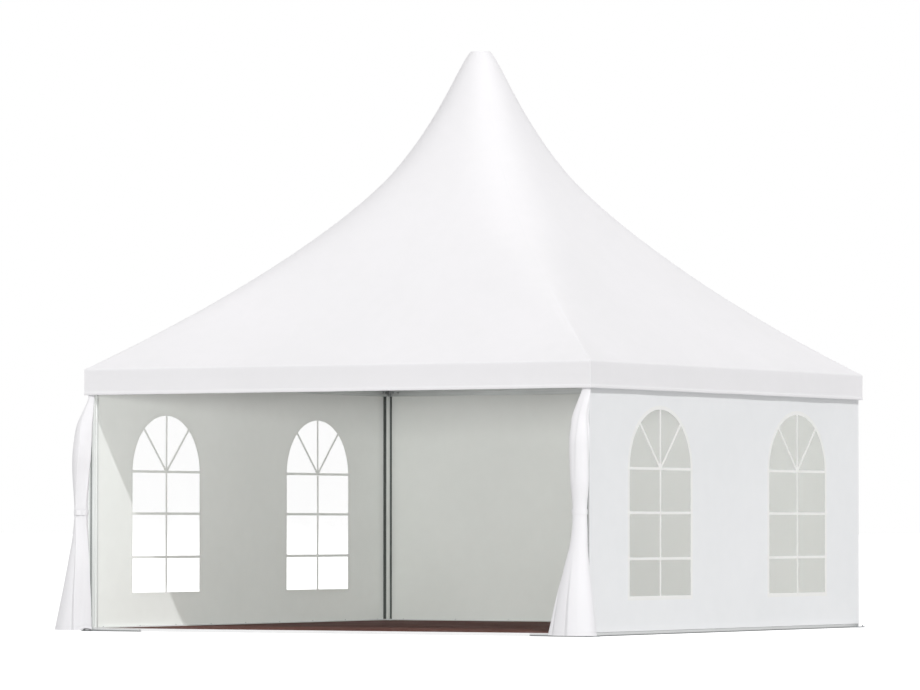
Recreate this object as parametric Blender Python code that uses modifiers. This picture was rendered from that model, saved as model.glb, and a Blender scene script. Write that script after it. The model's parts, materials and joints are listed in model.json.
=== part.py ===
"""Marquee tent: a square pagoda with a peaked membrane roof, three walls and an open front.

Metres, +Z up. The origin is the middle of the plan, on the ground. The open front faces -Y,
the wall seen from outside in front view is on +X. Every side and every corner is built once
in the front side's place and turned about the origin by quarter turns.
"""

import math

import bmesh
import bpy
from mathutils import Matrix, Vector

# Driving dimensions
SIDE = 5.0  # outer face to outer face of the posts
HALF = SIDE / 2
GAP = 0.0003  # left between pieces that touch
POST = 0.060  # square post and beam width
POST_WALL = 0.003
SLOT_FROM, SLOT_TO, SLOT_DEEP = 0.012, 0.032, 0.007  # keder channels of the post
PLATE = 0.150  # foot plate
PLATE_THICK = 0.008
BEAM_BOTTOM = 2.147
WALL_TOP = 2.210
LIP_BOTTOM = 2.218
LIP_OUT = 0.0255  # how far the beam's rail stands out under the canopy's edge
EAVE_OUT = 0.030  # outer face of the valance beyond the posts
FABRIC = 0.004  # walls and valances, modelled thicker than the real sheet
VALANCE_BOTTOM = 2.057
CANOPY_DROP = 0.006  # the canopy's thickness, measured straight down
EAVE_HEIGHT = 2.282
SEAT_SLOPE = 0.9  # how much of the eave's slope the beams' tops follow
PEAK_HEIGHT = 5.140
PEAK_RADIUS = 0.088
RAIL_TOP = 0.034
RAIL_WIDE = 0.040
THRESHOLD_TOP = 0.0263
FLOOR_TOP = 0.024
CABLE = 0.008
LUG_LONG, LUG_THICK = 0.050, 0.016
SHOULDER = LUG_THICK / math.sqrt(2)  # how far a bracket reaches along its beams, past the post
CABLE_AT_LUG, CABLE_AT_HUB = 2.222, 2.190
POLE_RADIUS, HUB_RADIUS = 0.035, 0.070
HUB_BOTTOM, HUB_TOP, POLE_BOTTOM = 2.175, 2.205, 2.160
POLE_SIDES = 36
HEAD_INSET = 0.0022  # the pole's head stands in by this, as the canopy is already a little square there
HEAD_TAPER = 0.050  # height over which the pole widens to its head
CAP_THICK, CAP_RIM = 0.022, 0.004
WINDOW_WIDE = 1.098
WINDOW_BOTTOM, WINDOW_SPRING, WINDOW_CROWN = 0.318, 1.399, 1.907
WINDOW_FROM_MIDDLE = 1.272
ARCH_STEPS = 24
PANE_THICK = 0.003
BAND_THICK = 0.003
BAND_INSET = 0.005  # how far the band's edges lie inside the neck
BAND_ROOM_TO = 1.6  # up to this height a curtain leaves room behind it for the band
LOOSE = 1.5 * GAP  # left round the bands and at the cables' ends
NECK_LOW, NECK_HIGH = 1.005, 1.060  # where the tie band holds a curtain

# The roof's hip, as two cubic curves in (radius along the diagonal, height), joined at the knee
EAVE_RADIUS = (HALF + EAVE_OUT) * math.sqrt(2)
KNEE = Vector((0.765, 4.085))
PEAK_SLOPE, KNEE_SLOPE, EAVE_SLOPE = 1.110, 1.160, 0.462
PEAK_REACH, KNEE_REACH_UP, KNEE_REACH_DOWN, EAVE_REACH = 0.116, 0.421, 0.335, 1.497
SQUARING = 2.2  # how fast a ring goes from round at the peak to square at the eave
RINGS_UP, RINGS_DOWN, RIBS = 7, 11, 16

# Stations of each curtain: height, middle's shift along X from the corner, half width, half depth
CURTAIN_RIGHT = (
    (0.012, -0.084, 0.220, 0.134),
    (0.320, -0.069, 0.168, 0.110),
    (0.578, -0.067, 0.125, 0.085),
    (0.743, -0.060, 0.093, 0.070),
    (NECK_LOW, -0.048, 0.079, 0.060),
    (NECK_HIGH, -0.048, 0.079, 0.060),
    (1.280, -0.049, 0.088, 0.066),
    (1.594, -0.063, 0.093, 0.066),
    (1.784, -0.063, 0.076, 0.050),
    (1.941, -0.041, 0.062, 0.030),
    (2.045, -0.032, 0.052, 0.012),
    (LIP_BOTTOM - GAP, -0.030, 0.050, 0.012),
)
CURTAIN_LEFT = (
    (0.012, -0.080, 0.171, 0.120),
    (0.410, -0.063, 0.121, 0.090),
    (0.638, -0.050, 0.092, 0.070),
    (0.790, -0.041, 0.072, 0.055),
    (NECK_LOW, -0.039, 0.064, 0.050),
    (NECK_HIGH, -0.039, 0.064, 0.050),
    (1.360, -0.039, 0.078, 0.056),
    (1.510, -0.032, 0.087, 0.060),
    (1.630, -0.027, 0.085, 0.056),
    (1.790, -0.006, 0.073, 0.045),
    (1.930, 0.023, 0.050, 0.028),
    (2.045, 0.036, 0.036, 0.012),
    (LIP_BOTTOM - GAP, 0.036, 0.036, 0.012),
)
CURTAIN_SIDES = 20

SIDES = ("front", "right", "back", "left")
CORNERS = ("front_right", "back_right", "back_left", "front_left")


def clear_scene():
    """Remove every object that the file starts with."""
    for obj in list(bpy.data.objects):
        bpy.data.objects.remove(obj)


def make_collection(name):
    """A new collection in the scene."""
    collection = bpy.data.collections.new(name)
    bpy.context.scene.collection.children.link(collection)
    return collection


def make_material(name, colour, roughness, metallic=0.0, transmission=0.0):
    """A plain surface with one Principled BSDF."""
    material = bpy.data.materials.new(name)
    material.use_nodes = True
    shader = material.node_tree.nodes["Principled BSDF"]
    shader.inputs["Base Color"].default_value = (*colour, 1.0)
    shader.inputs["Roughness"].default_value = roughness
    shader.inputs["Metallic"].default_value = metallic
    shader.inputs["Transmission Weight"].default_value = transmission
    return material


def place(obj, collection, material, parent=None):
    """Put an object in its collection with its material, under its parent."""
    collection.objects.link(obj)
    obj.data.materials.append(material)
    obj.parent = parent
    return obj


def make_guide(name, turn, collection):
    """An empty at the origin, turned by quarter turns about Z, that carries one side or corner."""
    guide = bpy.data.objects.new(name, None)
    guide.rotation_euler.z = turn * math.pi / 2
    guide.hide_render = True
    collection.objects.link(guide)
    return guide


def box(name, low, high, collection, material, parent=None):
    """A box between two corners."""
    low, high = Vector(low), Vector(high)
    mesh = bpy.data.meshes.new(name)
    bm = bmesh.new()
    bmesh.ops.create_cube(bm, size=1.0, matrix=Matrix.Diagonal((*(high - low), 1.0)))
    bm.to_mesh(mesh)
    bm.free()
    obj = bpy.data.objects.new(name, mesh)
    obj.location = (low + high) / 2
    return place(obj, collection, material, parent)


def extrusion(name, outlines, thick, collection, material, parent=None):
    """A flat outline, with any holes, extruded equally to both sides of its plane."""
    curve = bpy.data.curves.new(name, "CURVE")
    curve.dimensions = "2D"
    curve.fill_mode = "BOTH"
    curve.extrude = thick / 2
    for outline in outlines:
        spline = curve.splines.new("POLY")
        spline.points.add(len(outline) - 1)
        for point, (x, y) in zip(spline.points, outline):
            point.co = (x, y, 0.0, 1.0)
        spline.use_cyclic_u = True
    obj = bpy.data.objects.new(name, curve)
    return place(obj, collection, material, parent)


def loft(name, rings, collection, material, parent=None, closed=False):
    """A skin through rings of equal count. Closed joins the last ring to the first, else both are capped."""
    mesh = bpy.data.meshes.new(name)
    bm = bmesh.new()
    loops = [[bm.verts.new(point) for point in ring] for ring in rings]
    pairs = list(zip(loops, loops[1:]))
    if closed:
        pairs.append((loops[-1], loops[0]))
    for lower, upper in pairs:
        for i in range(len(lower)):
            j = (i + 1) % len(lower)
            bm.faces.new((lower[i], lower[j], upper[j], upper[i]))
    if not closed:
        bm.faces.new(loops[0])
        bm.faces.new(loops[-1])
    bmesh.ops.recalc_face_normals(bm, faces=bm.faces)
    bm.to_mesh(mesh)
    bm.free()
    obj = bpy.data.objects.new(name, mesh)
    return place(obj, collection, material, parent)


def turned(name, profile, steps, collection, material):
    """A profile of (radius, height) points, top to bottom, turned about Z."""
    mesh = bpy.data.meshes.new(name)
    edges = [(i, i + 1) for i in range(len(profile) - 1)]
    mesh.from_pydata([(radius, 0.0, height) for radius, height in profile], edges, [])
    obj = bpy.data.objects.new(name, mesh)
    screw = obj.modifiers.new("turn", "SCREW")
    screw.steps = screw.render_steps = steps
    screw.use_merge_vertices = True
    screw.merge_threshold = 0.0001
    return place(obj, collection, material)


def between(a, b, t):
    """The point at t between two points."""
    return a + (b - a) * t


def cubic(points, t):
    """A point of the cubic curve with four control points."""
    a, b, c, d = points
    ab, bc, cd = between(a, b, t), between(b, c, t), between(c, d, t)
    return between(between(ab, bc, t), between(bc, cd, t), t)


def hip_stations():
    """(radius along the diagonal, height) of the canopy's rings, from the peak to the eave."""
    peak, eave = Vector((PEAK_RADIUS, PEAK_HEIGHT)), Vector((EAVE_RADIUS, EAVE_HEIGHT))
    upper = (
        peak,
        peak + PEAK_REACH * Vector((1.0, -PEAK_SLOPE)),
        KNEE - KNEE_REACH_UP * Vector((1.0, -KNEE_SLOPE)),
        KNEE,
    )
    lower = (
        KNEE,
        KNEE + KNEE_REACH_DOWN * Vector((1.0, -KNEE_SLOPE)),
        eave - EAVE_REACH * Vector((1.0, -EAVE_SLOPE)),
        eave,
    )
    stations = [cubic(upper, i / RINGS_UP) for i in range(RINGS_UP)]
    return stations + [cubic(lower, i / RINGS_DOWN) for i in range(RINGS_DOWN + 1)]


def canopy_point(station, angle):
    """The canopy's outer surface at one ring, at an angle from the middle of a side."""
    radius, height = station
    flat = radius / math.sqrt(2)
    to_eave = min(max((EAVE_RADIUS - radius) / (EAVE_RADIUS - PEAK_RADIUS), 0.0), 1.0)
    if to_eave < 0.001:
        return Vector((flat * math.tan(angle), -flat, height))
    power = 2.0 / to_eave**SQUARING
    reach = flat * 2 ** (1 / power)
    spread = abs(math.sin(angle)) ** power + abs(math.cos(angle)) ** power
    reach *= spread ** (-1 / power)
    return Vector((reach * math.sin(angle), -reach * math.cos(angle), height))


def build_roof_panel(name, collection, material, parent):
    """One gore of the canopy, from hip to hip. It stands off the hips by half a gap."""
    clear = Vector((0.0, -GAP / math.sqrt(2), 0.0))
    drop = Vector((0.0, 0.0, -CANOPY_DROP))
    angles = [math.pi / 4 * (2 * i / RIBS - 1) for i in range(RIBS + 1)]
    outer = [[canopy_point(s, a) + clear for a in angles] for s in hip_stations()]
    mesh = bpy.data.meshes.new(name)
    bm = bmesh.new()
    grid = [[bm.verts.new(point) for point in ring] for ring in outer]
    for upper, lower in zip(grid, grid[1:]):
        for i in range(RIBS):
            bm.faces.new((upper[i], lower[i], lower[i + 1], upper[i + 1]))
    under = bmesh.ops.extrude_face_region(bm, geom=bm.faces[:])["geom"]
    skin = [item for item in under if isinstance(item, bmesh.types.BMVert)]
    bmesh.ops.translate(bm, vec=drop, verts=skin)
    bmesh.ops.recalc_face_normals(bm, faces=bm.faces)
    bm.to_mesh(mesh)
    bm.free()
    place(bpy.data.objects.new(name, mesh), collection, material, parent)


def post_outlines():
    """The post's section about its outer corner at (0, 0): four keder channels and a hollow."""
    a, b, d, w = SLOT_FROM, SLOT_TO, SLOT_DEEP, POST
    outer = [(0, 0), (a, 0), (a, d), (b, d), (b, 0), (w, 0)]
    outer += [(w, a), (w - d, a), (w - d, b), (w, b), (w, w)]
    outer += [(b, w), (b, w - d), (a, w - d), (a, w), (0, w)]
    outer += [(0, b), (d, b), (d, a), (0, a)]
    low, high = d + POST_WALL, w - d - POST_WALL
    return [outer, [(low, low), (high, low), (high, high), (low, high)]]


def at_corner(obj, low, high):
    """Stand a section drawn about its outer corner in the front right corner's place, from low to high."""
    obj.location = (HALF, -HALF, (low + high) / 2)
    obj.rotation_euler.z = math.pi / 2


def build_corner(name, collection, materials, parent):
    """A corner's foot plate, post and bracket."""
    middle = HALF - POST / 2
    low = (middle - PLATE / 2, -middle - PLATE / 2, 0.0)
    high = (middle + PLATE / 2, -middle + PLATE / 2, PLATE_THICK)
    box("foot_plate_" + name, low, high, collection, materials["steel"], parent)

    foot, top = PLATE_THICK + GAP, BEAM_BOTTOM
    post = extrusion(
        "post_" + name, post_outlines(), top - foot, collection, materials["aluminium"], parent
    )
    at_corner(post, foot, top)

    arm = POST + SHOULDER
    far, side = POST + LUG_LONG / math.sqrt(2), SHOULDER / 2
    outline = [(0, 0), (arm, 0), (arm, POST), (far + side, far - side)]
    outline += [(far - side, far + side), (POST, arm), (0, arm)]
    foot, top = BEAM_BOTTOM + GAP, canopy_seat(0.0)
    bracket = extrusion(
        "corner_bracket_" + name, [outline], top - foot, collection, materials["steel"], parent
    )
    at_corner(bracket, foot, top)


def canopy_seat(outward):
    """Top of what stands this far outside the posts' outer face and carries the canopy's underside."""
    rise = EAVE_SLOPE * math.sqrt(2) * (EAVE_OUT - outward)
    return EAVE_HEIGHT - CANOPY_DROP - GAP + SEAT_SLOPE * rise


def build_beam(name, collection, material, parent):
    """An eave beam between two brackets, with the rail that the canopy and valance hang on."""
    top_in, top_out = canopy_seat(0.0), canopy_seat(LIP_OUT)
    section = [(-POST, BEAM_BOTTOM), (0, BEAM_BOTTOM), (0, LIP_BOTTOM), (LIP_OUT, LIP_BOTTOM)]
    section += [(LIP_OUT, top_out), (0, top_in), (-POST, top_in)]
    inside = HALF - POST - SHOULDER - GAP
    rings = [
        [(x, -HALF - outward, height) for outward, height in section] for x in (-inside, inside)
    ]
    loft("eave_beam_" + name, rings, collection, material, parent)


def build_side(name, collection, materials, parent):
    """A side's beam, roof gore and valance, each the same on all four sides."""
    build_beam(name, collection, materials["aluminium"], parent)
    build_roof_panel("roof_panel_" + name, collection, materials["roof"], parent)
    face = HALF + EAVE_OUT
    low = (-face, -face, VALANCE_BOTTOM)
    high = (face - FABRIC - GAP, -face + FABRIC, EAVE_HEIGHT - CANOPY_DROP - GAP)
    box("valance_" + name, low, high, collection, materials["roof"], parent)


def window_outline(shrink=0.0):
    """The arched window in its wall's plane, about the middle of its width, made smaller all round."""
    wide = WINDOW_WIDE / 2 - shrink
    rise = WINDOW_CROWN - WINDOW_SPRING - shrink
    arch = [math.pi * i / ARCH_STEPS for i in range(ARCH_STEPS + 1)]
    outline = [(wide * math.cos(a), WINDOW_SPRING + rise * math.sin(a)) for a in arch]
    return outline + [(-wide, WINDOW_BOTTOM + shrink), (wide, WINDOW_BOTTOM + shrink)]


def upright(obj, outward):
    """Stand a piece drawn in (across, height) up in the front side's place, at a distance outwards."""
    obj.location.y = -HALF - outward
    obj.rotation_euler.x = math.pi / 2


def build_wall(name, windows, collection, materials, parent):
    """A sheet wall from corner to corner, its window openings and their clear panes."""
    low, high = RAIL_TOP + GAP, WALL_TOP
    sheet = [(-HALF, low), (HALF, low), (HALF, high), (-HALF, high)]
    outlines = [sheet]
    for middle in windows:
        outlines.append([(middle + x, z) for x, z in window_outline()])
    wall = extrusion(
        "wall_" + name, outlines, FABRIC, collection, materials["wall"], parent
    )
    upright(wall, GAP + FABRIC / 2)
    for number, middle in enumerate(windows, 1):
        outline = [(middle + x, z) for x, z in window_outline(GAP)]
        pane = extrusion(
            f"window_pane_{name}_{number}", [outline], PANE_THICK, collection, materials["pane"], parent
        )
        upright(pane, GAP + FABRIC / 2)


def build_base_rail(name, collection, material, parent):
    """A ground rail under a wall. Its ends lie on the foot plates."""
    reach = HALF - POST - GAP
    low = (-reach, -HALF, PLATE_THICK + GAP)
    high = (reach, -HALF + RAIL_WIDE, RAIL_TOP)
    box("base_rail_" + name, low, high, collection, material, parent)


def build_floor(collection, material):
    """The boarded deck inside the rails, notched round the foot plates."""
    edge = HALF - RAIL_WIDE - GAP
    notch = HALF - POST / 2 - PLATE / 2 - GAP
    corner = [(edge, -notch), (edge, notch), (notch, notch)]
    outline = []
    for turn in range(4):
        spin = Matrix.Rotation(turn * math.pi / 2, 2)
        outline += [tuple(spin @ Vector(point)) for point in corner]
    floor = extrusion("floor_deck", [outline], FLOOR_TOP, collection, material)
    floor.location.z = FLOOR_TOP / 2


def build_peak(collection, materials):
    """The king pole, whose head fits the canopy from below, and the cap on it."""
    first, second = hip_stations()[:2]
    head_top = PEAK_HEIGHT - CAP_THICK - GAP
    lean = (second.x - first.x) / (first.y - second.y)
    top_radius = first.x - HEAD_INSET + lean * (first.y - CANOPY_DROP - head_top)
    profile = [
        (0.0, head_top),
        (top_radius, head_top),
        (second.x - HEAD_INSET, second.y - CANOPY_DROP),
        (POLE_RADIUS, second.y - CANOPY_DROP - HEAD_TAPER),
        (POLE_RADIUS, HUB_TOP),
        (HUB_RADIUS, HUB_TOP),
        (HUB_RADIUS, HUB_BOTTOM),
        (POLE_RADIUS, HUB_BOTTOM),
        (POLE_RADIUS, POLE_BOTTOM),
        (0.0, POLE_BOTTOM),
    ]
    turned("king_pole", profile, POLE_SIDES, collection, materials["steel"])
    cap = (PEAK_RADIUS - GAP, PEAK_HEIGHT - CAP_THICK)
    profile = [(0.0, PEAK_HEIGHT), (cap[0] - CAP_RIM, PEAK_HEIGHT), (cap[0], PEAK_HEIGHT - CAP_RIM)]
    turned("peak_cap", profile + [cap, (0.0, cap[1])], 4 * RIBS, collection, materials["roof"])


def build_cable(name, collection, material, parent):
    """A taut cable from a corner bracket's lug to the king pole's hub."""
    lug = (HALF - POST) - LUG_LONG / math.sqrt(2)
    start = Vector((lug, -lug, CABLE_AT_LUG))
    hub = HUB_RADIUS * math.cos(math.pi / POLE_SIDES) / math.sqrt(2)
    end = Vector((hub, -hub, CABLE_AT_HUB))
    clear = (end - start).normalized() * LOOSE
    curve = bpy.data.curves.new(name, "CURVE")
    curve.dimensions = "3D"
    curve.bevel_depth = CABLE / 2
    curve.bevel_resolution = 2
    curve.use_fill_caps = True
    spline = curve.splines.new("POLY")
    spline.points.add(1)
    spline.points[0].co = (*(start + clear), 1.0)
    spline.points[1].co = (*(end - clear), 1.0)
    place(bpy.data.objects.new(name, curve), collection, material, parent)


def curtain_ring(station, corner_x, grow=0.0, behind=0.0):
    """One oval ring of a curtain, its back just clear of the post's face or of the band behind it."""
    height, shift, wide, deep = station
    middle = Vector((corner_x + shift, -HALF - 2 * GAP - behind - deep, height))
    ring = []
    for i in range(CURTAIN_SIDES):
        angle = 2 * math.pi * i / CURTAIN_SIDES
        across, out = (wide + grow) * math.cos(angle), (deep + grow) * math.sin(angle)
        ring.append(middle + Vector((across, out, 0.0)))
    return ring


def build_curtain(name, stations, corner_x, collection, materials):
    """A front curtain gathered at its post, and the band that ties it."""
    tied = [s for s in stations if s[0] in (NECK_LOW, NECK_HIGH)]
    rings = []
    for station in stations:
        behind = BAND_THICK + GAP if station[0] <= BAND_ROOM_TO else 0.0
        rings.append(curtain_ring(station, corner_x, behind=behind))
    loft("curtain_" + name, rings, collection, materials["curtain"])
    inner, outer = LOOSE, LOOSE + BAND_THICK
    band = []
    for station, grow in ((tied[0], inner), (tied[0], outer), (tied[1], outer), (tied[1], inner)):
        height = station[0] + (BAND_INSET if station is tied[0] else -BAND_INSET)
        band.append(curtain_ring((height, *station[1:]), corner_x, grow, BAND_THICK + GAP))
    loft("tie_band_" + name, band, collection, materials["curtain"], closed=True)


def main():
    """Build the corners, the sides, the floor, the peak and the curtains."""
    clear_scene()
    tent = make_collection("marquee_tent")
    guides = make_collection("guides")
    materials = {
        "aluminium": make_material("aluminium", (0.62, 0.64, 0.65), 0.38, 0.9),
        "steel": make_material("galvanised_steel", (0.45, 0.46, 0.47), 0.45, 0.9),
        "roof": make_material("roof_membrane", (0.90, 0.90, 0.91), 0.45),
        "wall": make_material("wall_membrane", (0.86, 0.87, 0.87), 0.50),
        "pane": make_material("clear_pane", (0.90, 0.92, 0.92), 0.10, 0.0, 0.9),
        "floor": make_material("floor_boards", (0.12, 0.045, 0.032), 0.55),
        "threshold": make_material("threshold_white", (0.88, 0.88, 0.88), 0.40),
        "curtain": make_material("curtain_cloth", (0.93, 0.93, 0.94), 0.60),
    }

    for turn, name in enumerate(CORNERS):
        guide = make_guide("guide_corner_" + name, turn, guides)
        build_corner(name, tent, materials, guide)
        build_cable("roof_cable_" + name, tent, materials["steel"], guide)

    windows = (-WINDOW_FROM_MIDDLE, WINDOW_FROM_MIDDLE)
    for turn, name in enumerate(SIDES):
        guide = make_guide("guide_side_" + name, turn, guides)
        build_side(name, tent, materials, guide)
        if name != "front":
            build_wall(name, () if name == "back" else windows, tent, materials, guide)
            build_base_rail(name, tent, materials["aluminium"], guide)

    reach = HALF - POST - GAP
    low = (-reach, -HALF, PLATE_THICK + GAP)
    high = (reach, -HALF + RAIL_WIDE, THRESHOLD_TOP)
    box("front_threshold", low, high, tent, materials["threshold"])
    build_floor(tent, materials["floor"])
    build_peak(tent, materials)
    build_curtain("right", CURTAIN_RIGHT, HALF, tent, materials)
    build_curtain("left", CURTAIN_LEFT, -HALF, tent, materials)


main()
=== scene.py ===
"""Looks of a square pagoda marquee: roof sheet, walls, windows, drapes, frame, mast and floor.

Metres, +Z up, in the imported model's frame. The open front faces -Y, and +X is the windowed wall that
the camera sees from outside. A side or a corner is made in the front or front right place and turned
about the middle of the plan by quarter turns.
"""

import functools
import json
import logging
import math
from dataclasses import dataclass, replace
from enum import Enum
from typing import Callable, Sequence

import bmesh
import bpy
import numpy as np
from mathutils import Matrix, Vector, noise

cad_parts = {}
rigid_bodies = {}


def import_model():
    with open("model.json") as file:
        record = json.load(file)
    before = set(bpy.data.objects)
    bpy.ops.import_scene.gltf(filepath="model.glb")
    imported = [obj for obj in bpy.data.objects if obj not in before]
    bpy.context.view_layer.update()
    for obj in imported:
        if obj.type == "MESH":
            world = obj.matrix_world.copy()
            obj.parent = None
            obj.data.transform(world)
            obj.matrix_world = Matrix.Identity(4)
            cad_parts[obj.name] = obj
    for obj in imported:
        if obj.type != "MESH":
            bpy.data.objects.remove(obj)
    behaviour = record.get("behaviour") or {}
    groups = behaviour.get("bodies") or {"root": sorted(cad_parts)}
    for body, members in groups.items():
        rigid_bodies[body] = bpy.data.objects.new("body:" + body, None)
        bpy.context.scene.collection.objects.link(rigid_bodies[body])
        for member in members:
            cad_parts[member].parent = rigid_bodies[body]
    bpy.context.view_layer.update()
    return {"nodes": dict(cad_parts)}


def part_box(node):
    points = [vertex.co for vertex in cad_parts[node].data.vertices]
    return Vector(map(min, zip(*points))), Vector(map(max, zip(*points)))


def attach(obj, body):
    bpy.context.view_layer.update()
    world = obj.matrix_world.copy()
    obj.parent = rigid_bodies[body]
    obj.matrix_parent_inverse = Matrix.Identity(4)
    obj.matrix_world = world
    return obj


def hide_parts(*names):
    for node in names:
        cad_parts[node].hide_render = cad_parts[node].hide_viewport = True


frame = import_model()

log = logging.getLogger("marquee")

BODY = "root"
UP = Vector((0.0, 0.0, 1.0))
OUT = Vector((0.0, -1.0, 0.0))  # outwards at the front
PACKED_ROOF_THICK = 0.006
TOUCHING = 0.00002  # points of a sheet nearer than this are one
PACKED_TOUCHING = 0.00005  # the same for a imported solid
TINY = 1e-9  # the least divisor
ROOT_2 = math.sqrt(2)
TURN = 2 * math.pi
Object = bpy.types.Object
Socket = bpy.types.NodeSocket
Sockets = bpy.types.bpy_prop_collection  # a node's inputs or outputs, by name
Feed = Socket | float | Sequence[float]  # what an input takes: a socket that feeds it, or its value
Colour = tuple[float, float, float]
Flat = tuple[float, float]  # a point on a wall (along it, and up) or of a section
Rows = list[list[Vector]]


class Slot(Enum):
    """The record's material slots."""

    ALUMINIUM = "aluminium"
    STEEL = "galvanised_steel"
    ROOF = "roof_membrane"
    WALL = "wall_membrane"
    PANE = "clear_pane"
    FLOOR = "floor_boards"
    THRESHOLD = "threshold"
    CURTAIN = "curtain_cloth"


class Quarter(Enum):
    """A place that comes back at every quarter turn about the middle of the plan."""

    @property
    def turn(self) -> Matrix:
        """The turn that carries the first place to this one."""
        return Matrix.Rotation(self.value * math.pi / 2, 4, "Z")

    @property
    def label(self) -> str:
        """The place's name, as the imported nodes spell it."""
        return self.name.lower()


class Side(Quarter):
    """The four sides, counter-clockwise from the open front."""

    FRONT = 0
    RIGHT = 1
    BACK = 2
    LEFT = 3


class Corner(Quarter):
    """The four corners, counter-clockwise from the front right."""

    FRONT_RIGHT = 0
    BACK_RIGHT = 1
    BACK_LEFT = 2
    FRONT_LEFT = 3


@dataclass(frozen=True)
class Plan:
    """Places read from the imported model.

    Attributes:
        post_face: distance of the posts' and walls' plane from the middle.
        post_wide: width of a post.
        plate_top: height of the foot plates' top.
        eave_face: distance of the valance's outer face from the middle.
        eave_height: height of the roof's edge.
        hem_height: height of the valance's lower edge.
        peak_height: height of the peak cap's top.
        rail_top: height of the ground rails' top.
        wall_top: height of the walls' top.
        beam_bottom: height of the eave beams' underside.
    """

    post_face: float
    post_wide: float
    plate_top: float
    eave_face: float
    eave_height: float
    hem_height: float
    peak_height: float
    rail_top: float
    wall_top: float
    beam_bottom: float

    @classmethod
    def read(cls) -> "Plan":
        """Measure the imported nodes."""
        post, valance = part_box("post_front_right"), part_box("valance_right")
        return cls(
            post_face=post[1].x,
            post_wide=post[1].x - post[0].x,
            plate_top=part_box("foot_plate_front_right")[1].z,
            eave_face=valance[1].x,
            eave_height=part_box("roof_panel_right")[0].z + PACKED_ROOF_THICK,
            hem_height=valance[0].z,
            peak_height=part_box("peak_cap")[1].z,
            rail_top=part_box("base_rail_right")[1].z,
            wall_top=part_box("wall_right")[1].z,
            beam_bottom=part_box("eave_beam_front")[0].z,
        )


def smooth_step(x: float) -> float:
    """The cubic that eases from 0 at 0 to 1 at 1, held flat outside."""
    x = min(max(x, 0.0), 1.0)
    return x * x * (3.0 - 2.0 * x)


def wander(x: float, y: float, seed: float) -> float:
    """Smooth noise from about -1 to 1 at a place of a pattern."""
    return noise.noise(Vector((x, y, seed)))


def nearest_turn(degrees: float) -> float:
    """An angle brought between -180 and 180 degrees."""
    return (degrees + 180.0) % 360.0 - 180.0


def around_turn(count: int, whole: float = TURN) -> list[float]:
    """Even angles round a turn."""
    return [whole * i / count for i in range(count)]


def link(obj: Object) -> Object:
    """Put an object in the scene."""
    bpy.context.scene.collection.objects.link(obj)
    return obj


def new_object(name: str, mesh: bpy.types.Mesh) -> Object:
    """A mesh's object in the scene."""
    return link(bpy.data.objects.new(name, mesh))


def plain_mesh(name: str, points: Sequence, edges: Sequence = (), faces: Sequence = ()) -> bpy.types.Mesh:
    """A mesh from lists of points, edges and faces."""
    mesh = bpy.data.meshes.new(name)
    mesh.from_pydata([tuple(point) for point in points], edges, faces)
    return mesh


def new_bmesh(mesh: bpy.types.Mesh) -> bmesh.types.BMesh:
    """A mesh opened for editing."""
    bm = bmesh.new()
    bm.from_mesh(mesh)
    return bm


def close_bmesh(bm: bmesh.types.BMesh, mesh: bpy.types.Mesh) -> bpy.types.Mesh:
    """Write an edited mesh back."""
    bm.to_mesh(mesh)
    bm.free()
    return mesh


def settle(obj: Object) -> Object:
    """Turn an object and its modifiers into a plain mesh.

    Args:
        obj: a mesh object at the origin.

    Returns:
        The mesh object that takes its name, with no modifiers.
    """
    graph = bpy.context.evaluated_depsgraph_get()
    mesh = bpy.data.meshes.new_from_object(obj.evaluated_get(graph), depsgraph=graph)
    name, old = obj.name, obj.data
    bpy.data.objects.remove(obj)
    bpy.data.meshes.remove(old)
    mesh.name = name
    return new_object(name, mesh)


def shade(obj: Object, sharp_degrees: float = 35.0) -> Object:
    """Shade a mesh smooth, with a hard edge wherever it turns by more than an angle."""
    obj.data.shade_smooth()
    obj.data.set_sharp_from_angle(angle=math.radians(sharp_degrees))
    return obj


def piece(obj: Object, finish: "Finish | None", nodes: Sequence[str] = ()) -> Object:
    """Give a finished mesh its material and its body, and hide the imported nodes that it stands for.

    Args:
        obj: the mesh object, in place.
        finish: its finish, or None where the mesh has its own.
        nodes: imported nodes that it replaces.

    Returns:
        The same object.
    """
    if finish:
        obj.data.materials.clear()
        obj.data.materials.append(finish.material())
    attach(obj, BODY)
    if nodes:
        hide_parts(*nodes)
    log.info("%s: %d faces", obj.name, len(obj.data.polygons))
    return obj


def sheet_mesh(name: str, rows: Rows, around: bool = False) -> Object:
    """A skin over rows of points, with a UV map in metres along and down the cloth.

    Args:
        name: the object's name.
        rows: rows of equal length, from the top down, each from left to right seen from outside.
        around: whether each row closes on itself.

    Returns:
        The mesh object, one layer thick.
    """
    grid = np.array([[tuple(point) for point in row] for row in rows])
    high, wide = grid.shape[:2]
    closed = np.concatenate([grid, grid[:, :1]], axis=1) if around else grid
    u = np.zeros(closed.shape[:2])
    v = np.zeros(closed.shape[:2])
    u[:, 1:] = np.cumsum(np.linalg.norm(np.diff(closed, axis=1), axis=2), axis=1)
    v[1:] = np.cumsum(np.linalg.norm(np.diff(closed, axis=0), axis=2), axis=0)
    faces, places = [], []
    for i in range(high - 1):
        for j in range(closed.shape[1] - 1):
            k = (j + 1) % wide
            faces.append((i * wide + j, (i + 1) * wide + j, (i + 1) * wide + k, i * wide + k))
            places += [(i, j), (i + 1, j), (i + 1, j + 1), (i, j + 1)]
    mesh = plain_mesh(name, grid.reshape(-1, 3).tolist(), faces=faces)
    layer = mesh.uv_layers.new(name="cloth")
    layer.data.foreach_set("uv", [value for i, j in places for value in (u[i, j], -v[i, j])])
    return new_object(name, mesh)


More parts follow.
